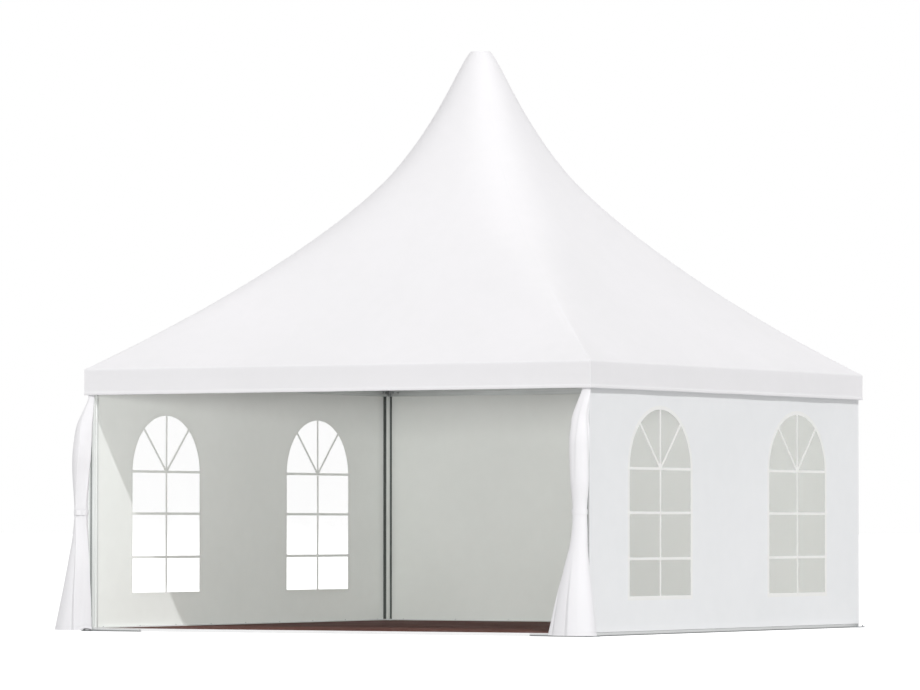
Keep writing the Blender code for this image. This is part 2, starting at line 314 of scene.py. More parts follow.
def thicken(
    obj: Object, thick: float, offset: float = -1.0, even: bool = True, coats: Sequence["Finish"] = ()
) -> Object:
    """Give a skin its thickness and its rims.

    Args:
        obj: a one-layer mesh whose faces point outwards.
        thick: the cloth's thickness.
        offset: -1 to grow inwards, 0 to both sides, 1 outwards.
        even: whether corners keep the full thickness, which tight folds can't.
        coats: the outer and the inner face's finish, where they differ.

    Returns:
        The closed mesh object.
    """
    modifier = obj.modifiers.new("thickness", "SOLIDIFY")
    modifier.thickness = thick
    modifier.offset = offset
    modifier.use_even_offset = even
    for coat in coats:
        obj.data.materials.append(coat.material())
    modifier.material_offset = max(len(coats) - 1, 0)
    return settle(obj)


def joined(name: str, parts: Sequence[Object]) -> Object:
    """Join mesh objects at the origin into one, under a new name."""
    bm = bmesh.new()
    for part in parts:
        bm.from_mesh(part.data)
        bpy.data.objects.remove(part)
    return new_object(name, close_bmesh(bm, bpy.data.meshes.new(name)))


def prism(name: str, sections: Rows, closed: bool = False) -> Object:
    """A closed skin through rings of equal count.

    Args:
        name: the object's name.
        sections: the rings, in order.
        closed: whether the last ring joins the first, in place of a cap at each end.

    Returns:
        The mesh object.
    """
    bm = bmesh.new()
    loops = [[bm.verts.new(point) for point in ring] for ring in sections]
    following = loops[1:] + loops[:1] if closed else loops[1:]
    for lower, upper in zip(loops, following):
        for i in range(len(lower)):
            j = (i + 1) % len(lower)
            bm.faces.new((lower[i], lower[j], upper[j], upper[i]))
    if not closed:
        bm.faces.new(loops[0])
        bm.faces.new(loops[-1])
    bmesh.ops.recalc_face_normals(bm, faces=bm.faces)
    return new_object(name, close_bmesh(bm, bpy.data.meshes.new(name)))


def spindle(name: str, start: Vector, end: Vector, profile: Sequence[Flat], sides: int = 20) -> Object:
    """A turned piece on a line.

    Args:
        name: the object's name.
        start: where distance 0 of the profile lies.
        end: a point further along the axis.
        profile: (distance along, radius) pairs.
        sides: facets round the axis.

    Returns:
        The closed mesh object.
    """
    axis = (end - start).normalized()
    across = axis.orthogonal().normalized()
    other = axis.cross(across)
    spokes = [math.cos(a) * across + math.sin(a) * other for a in around_turn(sides)]
    middles = [(start + axis * along, radius) for along, radius in profile]
    return prism(name, [[middle + radius * spoke for spoke in spokes] for middle, radius in middles])


def bar(side: Side, face: float, section: Sequence[Flat], span: Flat, upright: bool = False) -> Object:
    """A straight bar on a side of the tent.

    Args:
        side: the side.
        face: distance from the middle of the plane that the section is measured from.
        section: its (distance outwards, height) points, or (place along, distance inwards) where upright.
        span: its two ends along the side, or their heights where upright.
        upright: whether it stands.

    Returns:
        The closed mesh object.
    """
    def at(point: Flat, end: float) -> Vector:
        """A corner of one end."""
        first, second = point
        return Vector((first, second - face, end)) if upright else Vector((end, -face - first, second))

    return prism("bar", [[side.turn @ at(point, end) for point in section] for end in span])


def bevelled(obj: Object, width: float) -> Object:
    """Round the edges of a closed mesh."""
    modifier = obj.modifiers.new("edges", "BEVEL")
    modifier.width = width
    modifier.segments = 2
    modifier.limit_method = "ANGLE"
    modifier.angle_limit = math.radians(30)
    return settle(obj)


def refined(node: str, width: float, sharp_degrees: float = 35.0) -> Object:
    """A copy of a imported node's solid with its faces joined up and its edges rounded.

    Args:
        node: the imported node's name.
        width: how far the rounding reaches from each edge.
        sharp_degrees: how far the surface may turn before it shows an edge.

    Returns:
        The new mesh object, called NODE_dressed.
    """
    bm = new_bmesh(frame["nodes"][node].data)
    bmesh.ops.remove_doubles(bm, verts=bm.verts, dist=PACKED_TOUCHING)
    bmesh.ops.dissolve_limit(bm, angle_limit=math.radians(0.5), verts=bm.verts, edges=bm.edges)
    name = node + "_dressed"
    obj = new_object(name, close_bmesh(bm, bpy.data.meshes.new(name)))
    return shade(bevelled(obj, width), sharp_degrees)


class Graph:
    """Adds nodes to a shader or geometry tree."""

    def __init__(self, tree: bpy.types.NodeTree) -> None:
        """Start on a tree."""
        self.tree = tree

    @classmethod
    def cleared(cls, owner: bpy.types.Material | bpy.types.World) -> "Graph":
        """The graph of a material or a world, emptied."""
        owner.use_nodes = True
        owner.node_tree.nodes.clear()
        return cls(owner.node_tree)

    def add(self, kind: str, inputs: dict | None = None, **settings) -> bpy.types.Node:
        """A new node.

        Args:
            kind: the node's type.
            inputs: for each input's name or number, the socket that feeds it or its value.
            settings: the node's own properties.

        Returns:
            The node.
        """
        node = self.tree.nodes.new(kind)
        for name, value in settings.items():
            setattr(node, name, value)
        for name, value in (inputs or {}).items():
            if isinstance(value, Socket):
                self.tree.links.new(value, node.inputs[name])
            else:
                node.inputs[name].default_value = value
        return node

    def math(self, operation: str, *values: Feed, vector: bool = False) -> Socket:
        """The result of one sum of numbers or vectors."""
        kind = "ShaderNodeVectorMath" if vector else "ShaderNodeMath"
        return self.add(kind, dict(enumerate(values)), operation=operation).outputs[0]

    def mix(self, factor: Feed, first: Feed, second: Feed) -> Socket:
        """Two colours mixed, all of the second at factor 1."""
        return self.add("ShaderNodeMix", {0: factor, 6: first, 7: second}, data_type="RGBA").outputs[2]

    def ramp(self, value: Feed, low: float, high: float, to_low: float = 0.0, to_high: float = 1.0) -> Socket:
        """A number carried from one range to another, held at the ends."""
        inputs = {"Value": value, "From Min": low, "From Max": high, "To Min": to_low, "To Max": to_high}
        return self.add("ShaderNodeMapRange", inputs).outputs["Result"]

    def noise(self, place: Socket, scale: Feed, detail: float, distortion: float = 0.0) -> Socket:
        """Cloudy noise from 0 to 1."""
        inputs = {"Vector": place, "Scale": scale, "Detail": detail, "Distortion": distortion}
        return self.add("ShaderNodeTexNoise", inputs).outputs["Fac"]

    def bump(self, height: Socket, distance: float, strength: float, **normal: Socket) -> Socket:
        """The normal of a surface raised by a height, over the one given as Normal."""
        inputs = {"Height": height, "Distance": distance, "Strength": strength, **normal}
        return self.add("ShaderNodeBump", inputs).outputs["Normal"]

    def use(self, group: "Group", **inputs: Feed) -> Socket:
        """The output of a node group with its own values."""
        return self.add("ShaderNodeGroup", inputs, node_tree=group.tree).outputs[0]

    def vector(self, **parts: Feed) -> Socket:
        """A vector from its X, Y and Z, each 0 where it isn't given."""
        return self.add("ShaderNodeCombineXYZ", parts).outputs[0]

    def cylinder(self, sides: int, radius: Feed, depth: Feed) -> Socket:
        """A cylinder along Z, as geometry."""
        inputs = {"Vertices": sides, "Radius": radius, "Depth": depth}
        return self.add("GeometryNodeMeshCylinder", inputs).outputs["Mesh"]

    def tube(self, curve: Socket, radius: Feed, sides: Feed) -> Socket:
        """A round bead along curves, closed at its ends."""
        inputs = {"Resolution": sides, "Radius": radius}
        ring = self.add("GeometryNodeCurvePrimitiveCircle", inputs).outputs["Curve"]
        inputs = {"Curve": curve, "Profile Curve": ring, "Fill Caps": True}
        return self.add("GeometryNodeCurveToMesh", inputs).outputs[0]

    def upright(self, direction: Socket) -> Socket:
        """The rotation that points Z along a direction."""
        inputs = {"Vector": direction}
        return self.add("FunctionNodeAlignRotationToVector", inputs, axis="Z").outputs[0]

    def together(self, parts: Sequence[Socket]) -> Socket:
        """Geometries joined into one."""
        node = self.add("GeometryNodeJoinGeometry")
        for part in parts:
            self.tree.links.new(part, node.inputs[0])
        return node.outputs[0]


SOCKET_KINDS = {
    "vector": "NodeSocketVector",
    "float": "NodeSocketFloat",
    "int": "NodeSocketInt",
    "geometry": "NodeSocketGeometry",
    "material": "NodeSocketMaterial",
}
Fill = Callable[[Graph, Sockets], Socket]


@dataclass(eq=False)
class Group:
    """A shader node group with one output.

    Attributes:
        fill: takes the graph and the group's inputs, and returns what feeds the output.
        name: the group's name.
        output: the output's name and kind of socket.
        inputs: each input's name and kind of socket.
        kind: the type of tree.
    """

    fill: Fill
    name: str
    output: tuple[str, str]
    inputs: dict[str, str]
    kind: str = "ShaderNodeTree"

    def result(self, graph: Graph, given: Sockets) -> Socket:
        """What feeds the output."""
        return self.fill(graph, given)

    @functools.cached_property
    def tree(self) -> bpy.types.NodeTree:
        """Make the tree, once."""
        tree = bpy.data.node_groups.new(self.name, self.kind)
        label, socket = self.output
        tree.interface.new_socket(label, in_out="OUTPUT", socket_type=SOCKET_KINDS[socket])
        for name, kind in self.inputs.items():
            tree.interface.new_socket(name, in_out="INPUT", socket_type=SOCKET_KINDS[kind])
        graph = Graph(tree)
        graph.add("NodeGroupOutput", {label: self.result(graph, graph.add("NodeGroupInput").outputs)})
        return tree


@dataclass(eq=False)
class Rule(Group):
    """A Geometry Nodes tree that makes its instances real and sets their finish."""

    def result(self, graph: Graph, given: Sockets) -> Socket:
        """Its geometry, made real and finished."""
        real = graph.add("GeometryNodeRealizeInstances", {"Geometry": self.fill(graph, given)}).outputs[0]
        finish = {"Geometry": real, "Material": given["Finish"]}
        return graph.add("GeometryNodeSetMaterial", finish).outputs[0]

    def run(self, name: str, guide: bpy.types.Mesh, finish: "Finish", **values: float) -> Object:
        """Run the tree on a guide mesh.

        Args:
            name: the new object's name.
            guide: the points or lines that the tree starts from.
            finish: the finish that it sets.
            values: its named inputs.

        Returns:
            The result as a plain mesh object.
        """
        obj = new_object(name, guide)
        modifier = obj.modifiers.new(self.name, "NODES")
        modifier.node_group = self.tree
        wanted = {**values, "Finish": finish.material()}
        for item in self.tree.interface.items_tree:
            if item.in_out == "INPUT" and item.name in wanted:
                modifier[item.identifier] = wanted[item.name]
        return settle(obj)


def shader_group(name: str, output: str, **inputs: str) -> Callable[[Fill], Group]:
    """Make a function that fills a shader group into that group."""
    return lambda fill: Group(fill, name, (output, "float"), inputs)


def rule(name: str, **inputs: str) -> Callable[[Fill], Rule]:
    """Make a function that fills a Geometry Nodes tree into its rule."""
    named = {"Geometry": "geometry", **inputs, "Finish": "material"}
    return lambda fill: Rule(fill, name, ("Geometry", "geometry"), named, "GeometryNodeTree")


@shader_group("plain weave", "Height", Map="vector", Threads="float")
def weave(graph: Graph, given: Sockets) -> Socket:
    """Crossed threads: the height of a plain weave, from the cloth's map in metres."""
    parts = graph.add("ShaderNodeSeparateXYZ", {0: given["Map"]}).outputs
    turns = graph.math("MULTIPLY", given["Threads"], math.pi)
    across, down = (graph.math("SINE", graph.math("MULTIPLY", parts[axis], turns)) for axis in "XY")
    over = graph.math("MULTIPLY", graph.math("MULTIPLY", across, down), 0.5)
    return graph.math("ADD", over, 0.5)


@shader_group("uneven patches", "Mask", Place="vector", Scale="float")
def cloud(graph: Graph, given: Sockets) -> Socket:
    """Soft uneven patches, for soiling and small changes of shade."""
    broad = graph.noise(given["Place"], given["Scale"], 5.0)
    close = graph.noise(given["Place"], graph.math("MULTIPLY", given["Scale"], 9.0), 3.0)
    both = graph.math("ADD", graph.math("MULTIPLY", broad, 0.7), graph.math("MULTIPLY", close, 0.3))
    return graph.ramp(both, 0.38, 0.64)


@shader_group("drawn streaks", "Streaks", Place="vector", Stretch="vector")
def streak(graph: Graph, given: Sockets) -> Socket:
    """Fine drawn lines, as an extruded or brushed metal has along its length."""
    place = graph.math("MULTIPLY", given["Place"], given["Stretch"], vector=True)
    return graph.ramp(graph.noise(place, 1.0, 4.0), 0.3, 0.7)


@shader_group("rubbed edges", "Edge", Place="vector", Radius="float")
def wear(graph: Graph, given: Sockets) -> Socket:
    """A mask that is 1 on sharp edges, broken up as rubbed edges are."""
    rounded = graph.add("ShaderNodeBevel", {"Radius": given["Radius"]}, samples=4).outputs[0]
    plain = graph.add("ShaderNodeNewGeometry").outputs["Normal"]
    same = graph.add("ShaderNodeVectorMath", {0: rounded, 1: plain}, operation="DOT_PRODUCT").outputs["Value"]
    broken = graph.ramp(graph.noise(given["Place"], 60.0, 2.0), 0.35, 0.6)
    return graph.math("MULTIPLY", graph.ramp(same, 0.995, 0.93), broken)


@shader_group("zinc spangle", "Patch", Place="vector", Patches="float")
def spangle(graph: Graph, given: Sockets) -> Socket:
    """The crystal patches of hot-dip zinc."""
    cells = graph.add("ShaderNodeTexVoronoi", {"Vector": given["Place"], "Scale": given["Patches"]})
    return graph.add("ShaderNodeSeparateColor", {0: cells.outputs["Color"]}).outputs[0]


@shader_group("board grain", "Grain", Place="vector", Board="float")
def grain(graph: Graph, given: Sockets) -> Socket:
    """Wood grain along X, shifted from board to board by the board's own number."""
    shift = graph.vector(X=graph.math("MULTIPLY", given["Board"], 37.0))
    place = graph.math("MULTIPLY", given["Place"], Vector((1.6, 26.0, 26.0)), vector=True)
    moved = graph.math("ADD", place, shift, vector=True)
    return graph.ramp(graph.noise(moved, 1.0, 6.0, 0.6), 0.3, 0.7)


def opaque(colour: Colour) -> tuple[float, float, float, float]:
    """A colour with full alpha."""
    return (*colour, 1.0)


def grey(value: float) -> tuple[float, float, float, float]:
    """An opaque grey."""
    return (value, value, value, 1.0)


@dataclass(frozen=True)
class Finish:
    """A procedural finish.

    Attributes:
        name: the material's name.
    """

    name: str

    @functools.cache
    def material(self) -> bpy.types.Material:
        """Make the material, once."""
        material = bpy.data.materials.new(self.name)
        graph = Graph.cleared(material)
        shader = self.shader(graph, graph.add("ShaderNodeTexCoord").outputs)
        graph.add("ShaderNodeOutputMaterial", {"Surface": shader})
        return material

    def shader(self, graph: Graph, at: Sockets) -> Socket:
        """Fill the material's graph and return its shader, from the texture coordinates."""
        raise NotImplementedError


@dataclass(frozen=True)
class Cloth(Finish):
    """A coated or woven sheet.

    Attributes:
        colour: its clean colour.
        soiled: its colour in the dull patches.
        rough: its roughness where clean.
        threads: threads to the metre.
        relief: how far the threads stand out, in metres.
        glow: the share of light that comes through.
        sheen: the strength of the fibres' sheen.
        splashed: its colour at the ground, where that differs.
        shine: the strength of the coating's reflections.
        splash: height that the ground's splashes reach.
    """

    colour: Colour
    soiled: Colour
    rough: float
    threads: float
    relief: float
    glow: float
    sheen: float = 0.0
    splashed: Colour | None = None
    shine: float = 0.25
    splash: float = 1.05

    def shader(self, graph: Graph, at: Sockets) -> Socket:
        """Patches of soiling, a weave over slack cloth, and light that comes through."""
        patches = graph.use(cloud, Place=at["Object"], Scale=0.9)
        colour = graph.mix(patches, opaque(self.soiled), opaque(self.colour))
        if self.splashed:
            height = graph.add("ShaderNodeSeparateXYZ", {"Vector": at["Object"]}).outputs["Z"]
            low = graph.ramp(height, 0.0, self.splash, 1.0, 0.0)
            colour = graph.mix(low, colour, opaque(self.splashed))
        threads = graph.use(weave, Map=at["UV"], Threads=self.threads)
        wavy = graph.bump(graph.noise(at["Object"], 3.0, 2.0), 0.004, 0.35)
        normal = graph.bump(threads, self.relief, 0.5, Normal=wavy)
        inputs = {
            "Base Color": colour,
            "Roughness": graph.ramp(patches, 0.0, 1.0, self.rough + 0.10, self.rough),
            "Normal": normal,
            "Sheen Weight": self.sheen,
            "Specular IOR Level": self.shine,
        }
        coat = graph.add("ShaderNodeBsdfPrincipled", inputs).outputs[0]
        through = graph.add("ShaderNodeBsdfTranslucent", {"Color": colour, "Normal": normal}).outputs[0]
        return graph.add("ShaderNodeMixShader", {0: self.glow, 1: coat, 2: through}).outputs[0]


@dataclass(frozen=True)
class Metal(Finish):
    """Bare or painted metal.

    Attributes:
        colour: its colour.
        dull: its colour in the streaks or patches.
        rubbed: its colour on worn edges.
        rough: its usual roughness.
        metallic: 1 for bare metal and 0 for paint.
        stretch: streaks to the metre along X, Y and Z.
        patches: zinc patches to the metre, or 0 for none.
        corner: how far the wear reaches from an edge.
    """

    colour: Colour
    dull: Colour
    rubbed: Colour
    rough: float
    metallic: float
    stretch: tuple[float, float, float] = (260.0, 260.0, 3.0)
    patches: float = 0.0
    corner: float = 0.0015

    def shader(self, graph: Graph, at: Sockets) -> Socket:
        """Streaks or zinc patches, with rubbed edges."""
        streaks = graph.use(streak, Place=at["Object"], Stretch=self.stretch)
        if self.patches:
            cells = graph.math("MULTIPLY", graph.use(spangle, Place=at["Object"], Patches=self.patches), 0.7)
            streaks = graph.math("ADD", graph.math("MULTIPLY", streaks, 0.3), cells)
        edge = graph.use(wear, Place=at["Object"], Radius=self.corner)
        body = graph.mix(streaks, opaque(self.dull), opaque(self.colour))
        inputs = {
            "Base Color": graph.mix(edge, body, opaque(self.rubbed)),
            "Roughness": graph.ramp(streaks, 0.0, 1.0, self.rough + 0.10, self.rough - 0.06),
            "Normal": graph.bump(streaks, 0.0002, 0.25),
            "Metallic": self.metallic,
        }
        return graph.add("ShaderNodeBsdfPrincipled", inputs).outputs[0]


@dataclass(frozen=True)
class ClearSheet(Finish):
    """Clear flexible sheet, a little hazy and wavy.

    Attributes:
        colour: its tint.
        haze: the share that scatters light as a white sheet would.
        rough: its roughness.
        index: its index of refraction.
    """

    colour: Colour
    haze: float
    rough: float
    index: float

    def shader(self, graph: Graph, at: Sockets) -> Socket:
        """A thin film over slow waves."""
        film = graph.use(cloud, Place=at["Object"], Scale=2.2)
        inputs = {
            "Base Color": opaque(self.colour),
            "Roughness": graph.ramp(film, 0.0, 1.0, self.rough + 0.06, self.rough),
            "Normal": graph.bump(graph.noise(at["Object"], 5.0, 1.0), 0.003, 0.4),
            "Transmission Weight": 1.0 - self.haze,
            "IOR": self.index,
        }
        return graph.add("ShaderNodeBsdfPrincipled", inputs).outputs[0]


@dataclass(frozen=True)
class Boards(Finish):
    """Stained floor boards.

    Attributes:
        dark: the stain in the grain's dark lines.
        light: the stain between them.
        rough: its usual roughness.
        shine: the strength of its reflections.
    """

    dark: Colour
    light: Colour
    rough: float
    shine: float = 0.15

    def shader(self, graph: Graph, at: Sockets) -> Socket:
        """Grain and a shade of its own on each board, worn in patches."""
        board = graph.add("ShaderNodeAttribute", attribute_name="board").outputs["Fac"]
        lines = graph.use(grain, Place=at["Object"], Board=board)
        worn = graph.use(cloud, Place=at["Object"], Scale=1.4)
        lit = graph.math("ADD", graph.math("MULTIPLY", lines, 0.6), graph.math("MULTIPLY", board, 0.4))
        inputs = {
            "Base Color": graph.mix(lit, opaque(self.dark), opaque(self.light)),
            "Roughness": graph.ramp(worn, 0.0, 1.0, self.rough + 0.12, self.rough - 0.05),
            "Specular IOR Level": self.shine,
            "Normal": graph.bump(lines, 0.0006, 0.4),
        }
        return graph.add("ShaderNodeBsdfPrincipled", inputs).outputs[0]


WHITE = (0.924, 0.914, 0.930), (0.904, 0.896, 0.910)
PALE = (0.925, 0.932, 0.945), (0.900, 0.910, 0.922)
# Greyer than the outer sheet: the walls' inner faces are painted darker to stand in for the shade inside the
# room.
SHADE_LINING = (0.775, 0.782, 0.772), (0.750, 0.757, 0.747)
BAR_WHITE = (0.930, 0.930, 0.915), (0.915, 0.915, 0.900)
DRAPE_WHITE = (0.935, 0.925, 0.945), (0.915, 0.908, 0.925)
ROOF_SHEET = Cloth("white_roof_sheet", *WHITE, 0.58, 900.0, 0.00015, 0.14)
WALL_SHEET = Cloth("white_wall_sheet", *PALE, 0.56, 900.0, 0.00015, 0.14)
WALL_SHADE_LINING = Cloth("wall_lining", *SHADE_LINING, 0.62, 900.0, 0.00015, 0.14)
WELD_SHEET = Cloth("welded_strip", *PALE, 0.36, 900.0, 0.00008, 0.10)
BAR_SHEET = Cloth("white_window_bar", *BAR_WHITE, 0.50, 900.0, 0.00008, 0.10)
ROOF_WELD = Cloth("welded_roof_strip", *WHITE, 0.52, 900.0, 0.00008, 0.12)
DRAPE_CLOTH = Cloth("white_drape", *DRAPE_WHITE, 0.62, 1400.0, 0.00012, 0.12, 0.25, (0.862, 0.855, 0.874))
THREAD = Cloth("white_thread", (0.85, 0.85, 0.85), (0.80, 0.80, 0.80), 0.70, 3000.0, 0.00005, 0.0)
# Near black, painting the shade in the gaps where the walls meet the posts.
PAINTED_SHADE_EDGE = Cloth("dark_keder_edge", (0.080, 0.088, 0.086), (0.060, 0.066, 0.065), 0.60, 900.0, 0.0001, 0.0)
# Dark grey that paints shade: the shadow under the rails and sockets, and the shade deep in the posts' open
# channels.
PAINTED_SHADOW_STRIP = Cloth("grey_rubber_seal", (0.230, 0.240, 0.240), (0.180, 0.188, 0.188), 0.70, 1500.0, 0.0001, 0.0)
ANODISED = Metal("anodised_aluminium", (0.70, 0.72, 0.72), (0.56, 0.58, 0.58), (0.82, 0.83, 0.83), 0.42, 0.6)
PALE_ANODISED = Metal(
    "pale_anodised_aluminium", (0.66, 0.67, 0.67), (0.58, 0.59, 0.59), (0.76, 0.76, 0.76), 0.46, 0.2
)
ZINC = Metal(
    "hot_dip_zinc", (0.46, 0.48, 0.49), (0.30, 0.31, 0.32), (0.62, 0.63, 0.64), 0.50, 0.75,
    (9.0, 9.0, 9.0), 90.0,
)
WHITE_PAINT = Metal(
    "white_painted_profile", (0.90, 0.90, 0.90), (0.86, 0.86, 0.86), (0.70, 0.71, 0.72), 0.38, 0.0,
    (3.0, 90.0, 90.0),
)
WINDOW_FILM = ClearSheet("clear_window_sheet", (1.0, 1.0, 1.0), 0.01, 0.03, 1.14)
RED_BROWN = Boards("red_brown_boards", (0.062, 0.024, 0.018), (0.150, 0.062, 0.048), 0.72)


def guide_points(points: Sequence[Vector], facing: Sequence[Vector] = ()) -> bpy.types.Mesh:
    """Loose points, each with the direction that it faces, or all facing up."""
    mesh = plain_mesh("guide", points)
    attribute = mesh.attributes.new("facing", "FLOAT_VECTOR", "POINT")
    attribute.data.foreach_set("vector", [value for way in facing or [UP] * len(points) for value in way])
    return mesh


def guide_lines(paths: Sequence[Sequence[Vector]], closed: bool = False) -> bpy.types.Mesh:
    """Lines of points as loose edges."""
    points, edges = [], []
    for path in paths:
        first = len(points)
        points += path
        edges += [(first + i, first + i + 1) for i in range(len(path) - 1)]
        if closed:
            edges.append((len(points) - 1, first))
    return plain_mesh("guide", points, edges)


@rule("bolts", Size="float")
def bolt(graph: Graph, given: Sockets) -> Socket:
    """A washer, a hexagon head and a thread end on every point, along its facing direction."""
    size, parts = given["Size"], []
    for sides, *shares in ((20, 1.15, 0.22, 0.11), (6, 0.85, 0.62, 0.53), (10, 0.45, 0.5, 1.05)):
        radius, deep, lift = (graph.math("MULTIPLY", size, share) for share in shares)
        inputs = {"Geometry": graph.cylinder(sides, radius, deep), "Translation": graph.vector(Z=lift)}
        parts.append(graph.add("GeometryNodeTransform", inputs).outputs[0])
    facing = graph.add("GeometryNodeInputNamedAttribute", {"Name": "facing"}, data_type="FLOAT_VECTOR")
    inputs = {
        "Points": graph.add("GeometryNodeMeshToPoints", {"Mesh": given["Geometry"]}).outputs[0],
        "Instance": graph.together(parts),
        "Rotation": graph.upright(facing.outputs[0]),
    }
    return graph.add("GeometryNodeInstanceOnPoints", inputs).outputs[0]


@rule("piping", Radius="float", Sides="int")
def piping(graph: Graph, given: Sockets) -> Socket:
    """A round bead along every line."""
    curve = graph.add("GeometryNodeMeshToCurve", {"Mesh": given["Geometry"]}).outputs[0]
    return graph.tube(curve, given["Radius"], given["Sides"])


@rule("stitches", Pitch="float", Length="float", Thread="float")
def stitch(graph: Graph, given: Sockets) -> Socket:
    """Short threads set end to end along every line, each flat on the cloth."""
    curve = graph.add("GeometryNodeMeshToCurve", {"Mesh": given["Geometry"]}).outputs[0]
    inputs = {"Curve": curve, "Length": given["Pitch"]}
    points = graph.add("GeometryNodeCurveToPoints", inputs, mode="LENGTH").outputs
    inputs = {
        "Points": points["Points"],
        "Instance": graph.cylinder(5, given["Thread"], given["Length"]),
        "Rotation": graph.upright(points["Tangent"]),
    }
    return graph.add("GeometryNodeInstanceOnPoints", inputs).outputs[0]


@rule("wire rope", Strands="int", Lay="float", Radius="float", Steps="int")
def strand(graph: Graph, given: Sockets) -> Socket:
    """Wire rope: strands laid in a helix about each straight line."""
    line = graph.add("GeometryNodeMeshToCurve", {"Mesh": given["Geometry"]}).outputs[0]
    fine = graph.add("GeometryNodeResampleCurve", {"Curve": line, "Count": given["Steps"]}).outputs[0]
    inputs = {"Geometry": fine, "Amount": given["Strands"]}
    copies = graph.add("GeometryNodeDuplicateElements", inputs, domain="SPLINE").outputs
    along = graph.add("GeometryNodeSplineParameter").outputs["Length"]
    laid = graph.math("DIVIDE", along, given["Lay"])
    share = graph.math("DIVIDE", copies["Duplicate Index"], given["Strands"])
    angle = graph.math("MULTIPLY", graph.math("ADD", laid, share), TURN)
    axis = graph.add("GeometryNodeInputTangent").outputs[0]
    across = graph.math("NORMALIZE", graph.math("CROSS_PRODUCT", axis, UP, vector=True), vector=True)
    other = graph.math("CROSS_PRODUCT", axis, across, vector=True)
    thin = graph.math("MULTIPLY", given["Radius"], 0.34)
    offset = graph.math("SUBTRACT", given["Radius"], thin)
    parts = []
    for way, wave in ((across, "COSINE"), (other, "SINE")):
        inputs = {0: way, "Scale": graph.math("MULTIPLY", graph.math(wave, angle), offset)}
        parts.append(graph.add("ShaderNodeVectorMath", inputs, operation="SCALE").outputs[0])
    inputs = {"Geometry": copies["Geometry"], "Offset": graph.math("ADD", *parts, vector=True)}
    return graph.tube(graph.add("GeometryNodeSetPosition", inputs).outputs[0], thin, 5)


@rule("boards", Length="float", Width="float", Thickness="float", Joint="float", Seed="int")
def board(graph: Graph, given: Sockets) -> Socket:
    """Two unequal boards end to end on every point, longer and shorter by turns."""
    odd = graph.math("MODULO", graph.add("GeometryNodeInputIndex").outputs[0], 2.0)
    first = graph.math("ADD", graph.math("MULTIPLY", odd, 0.24), 0.38)
    second = graph.math("SUBTRACT", 1.0, first)
    points = graph.add("GeometryNodeMeshToPoints", {"Mesh": given["Geometry"]}).outputs[0]
    halves = []
    for share, way in ((first, -1.0), (second, 1.0)):
        long = graph.math("SUBTRACT", graph.math("MULTIPLY", given["Length"], share), given["Joint"])
        room = graph.math("MULTIPLY", given["Length"], graph.math("SUBTRACT", 1.0, share))
        place = graph.vector(X=graph.math("MULTIPLY", room, 0.5 * way))
        inputs = {
            "Points": graph.add("GeometryNodeSetPosition", {"Geometry": points, "Offset": place}).outputs[0],
            "Instance": graph.add("GeometryNodeMeshCube", {"Size": (1.0, 1.0, 1.0)}).outputs["Mesh"],
            "Scale": graph.vector(X=long, Y=given["Width"], Z=given["Thickness"]),
        }
        laid = graph.add("GeometryNodeInstanceOnPoints", inputs).outputs[0]
        seed = {"Seed": graph.math("ADD", given["Seed"], way)}
        tint = graph.add("FunctionNodeRandomValue", seed).outputs[1]
        inputs = {"Geometry": laid, "Name": "board", "Value": tint}
        numbered = graph.add("GeometryNodeStoreNamedAttribute", inputs, data_type="FLOAT", domain="INSTANCE")
        halves.append(numbered.outputs[0])
    return graph.together(halves)


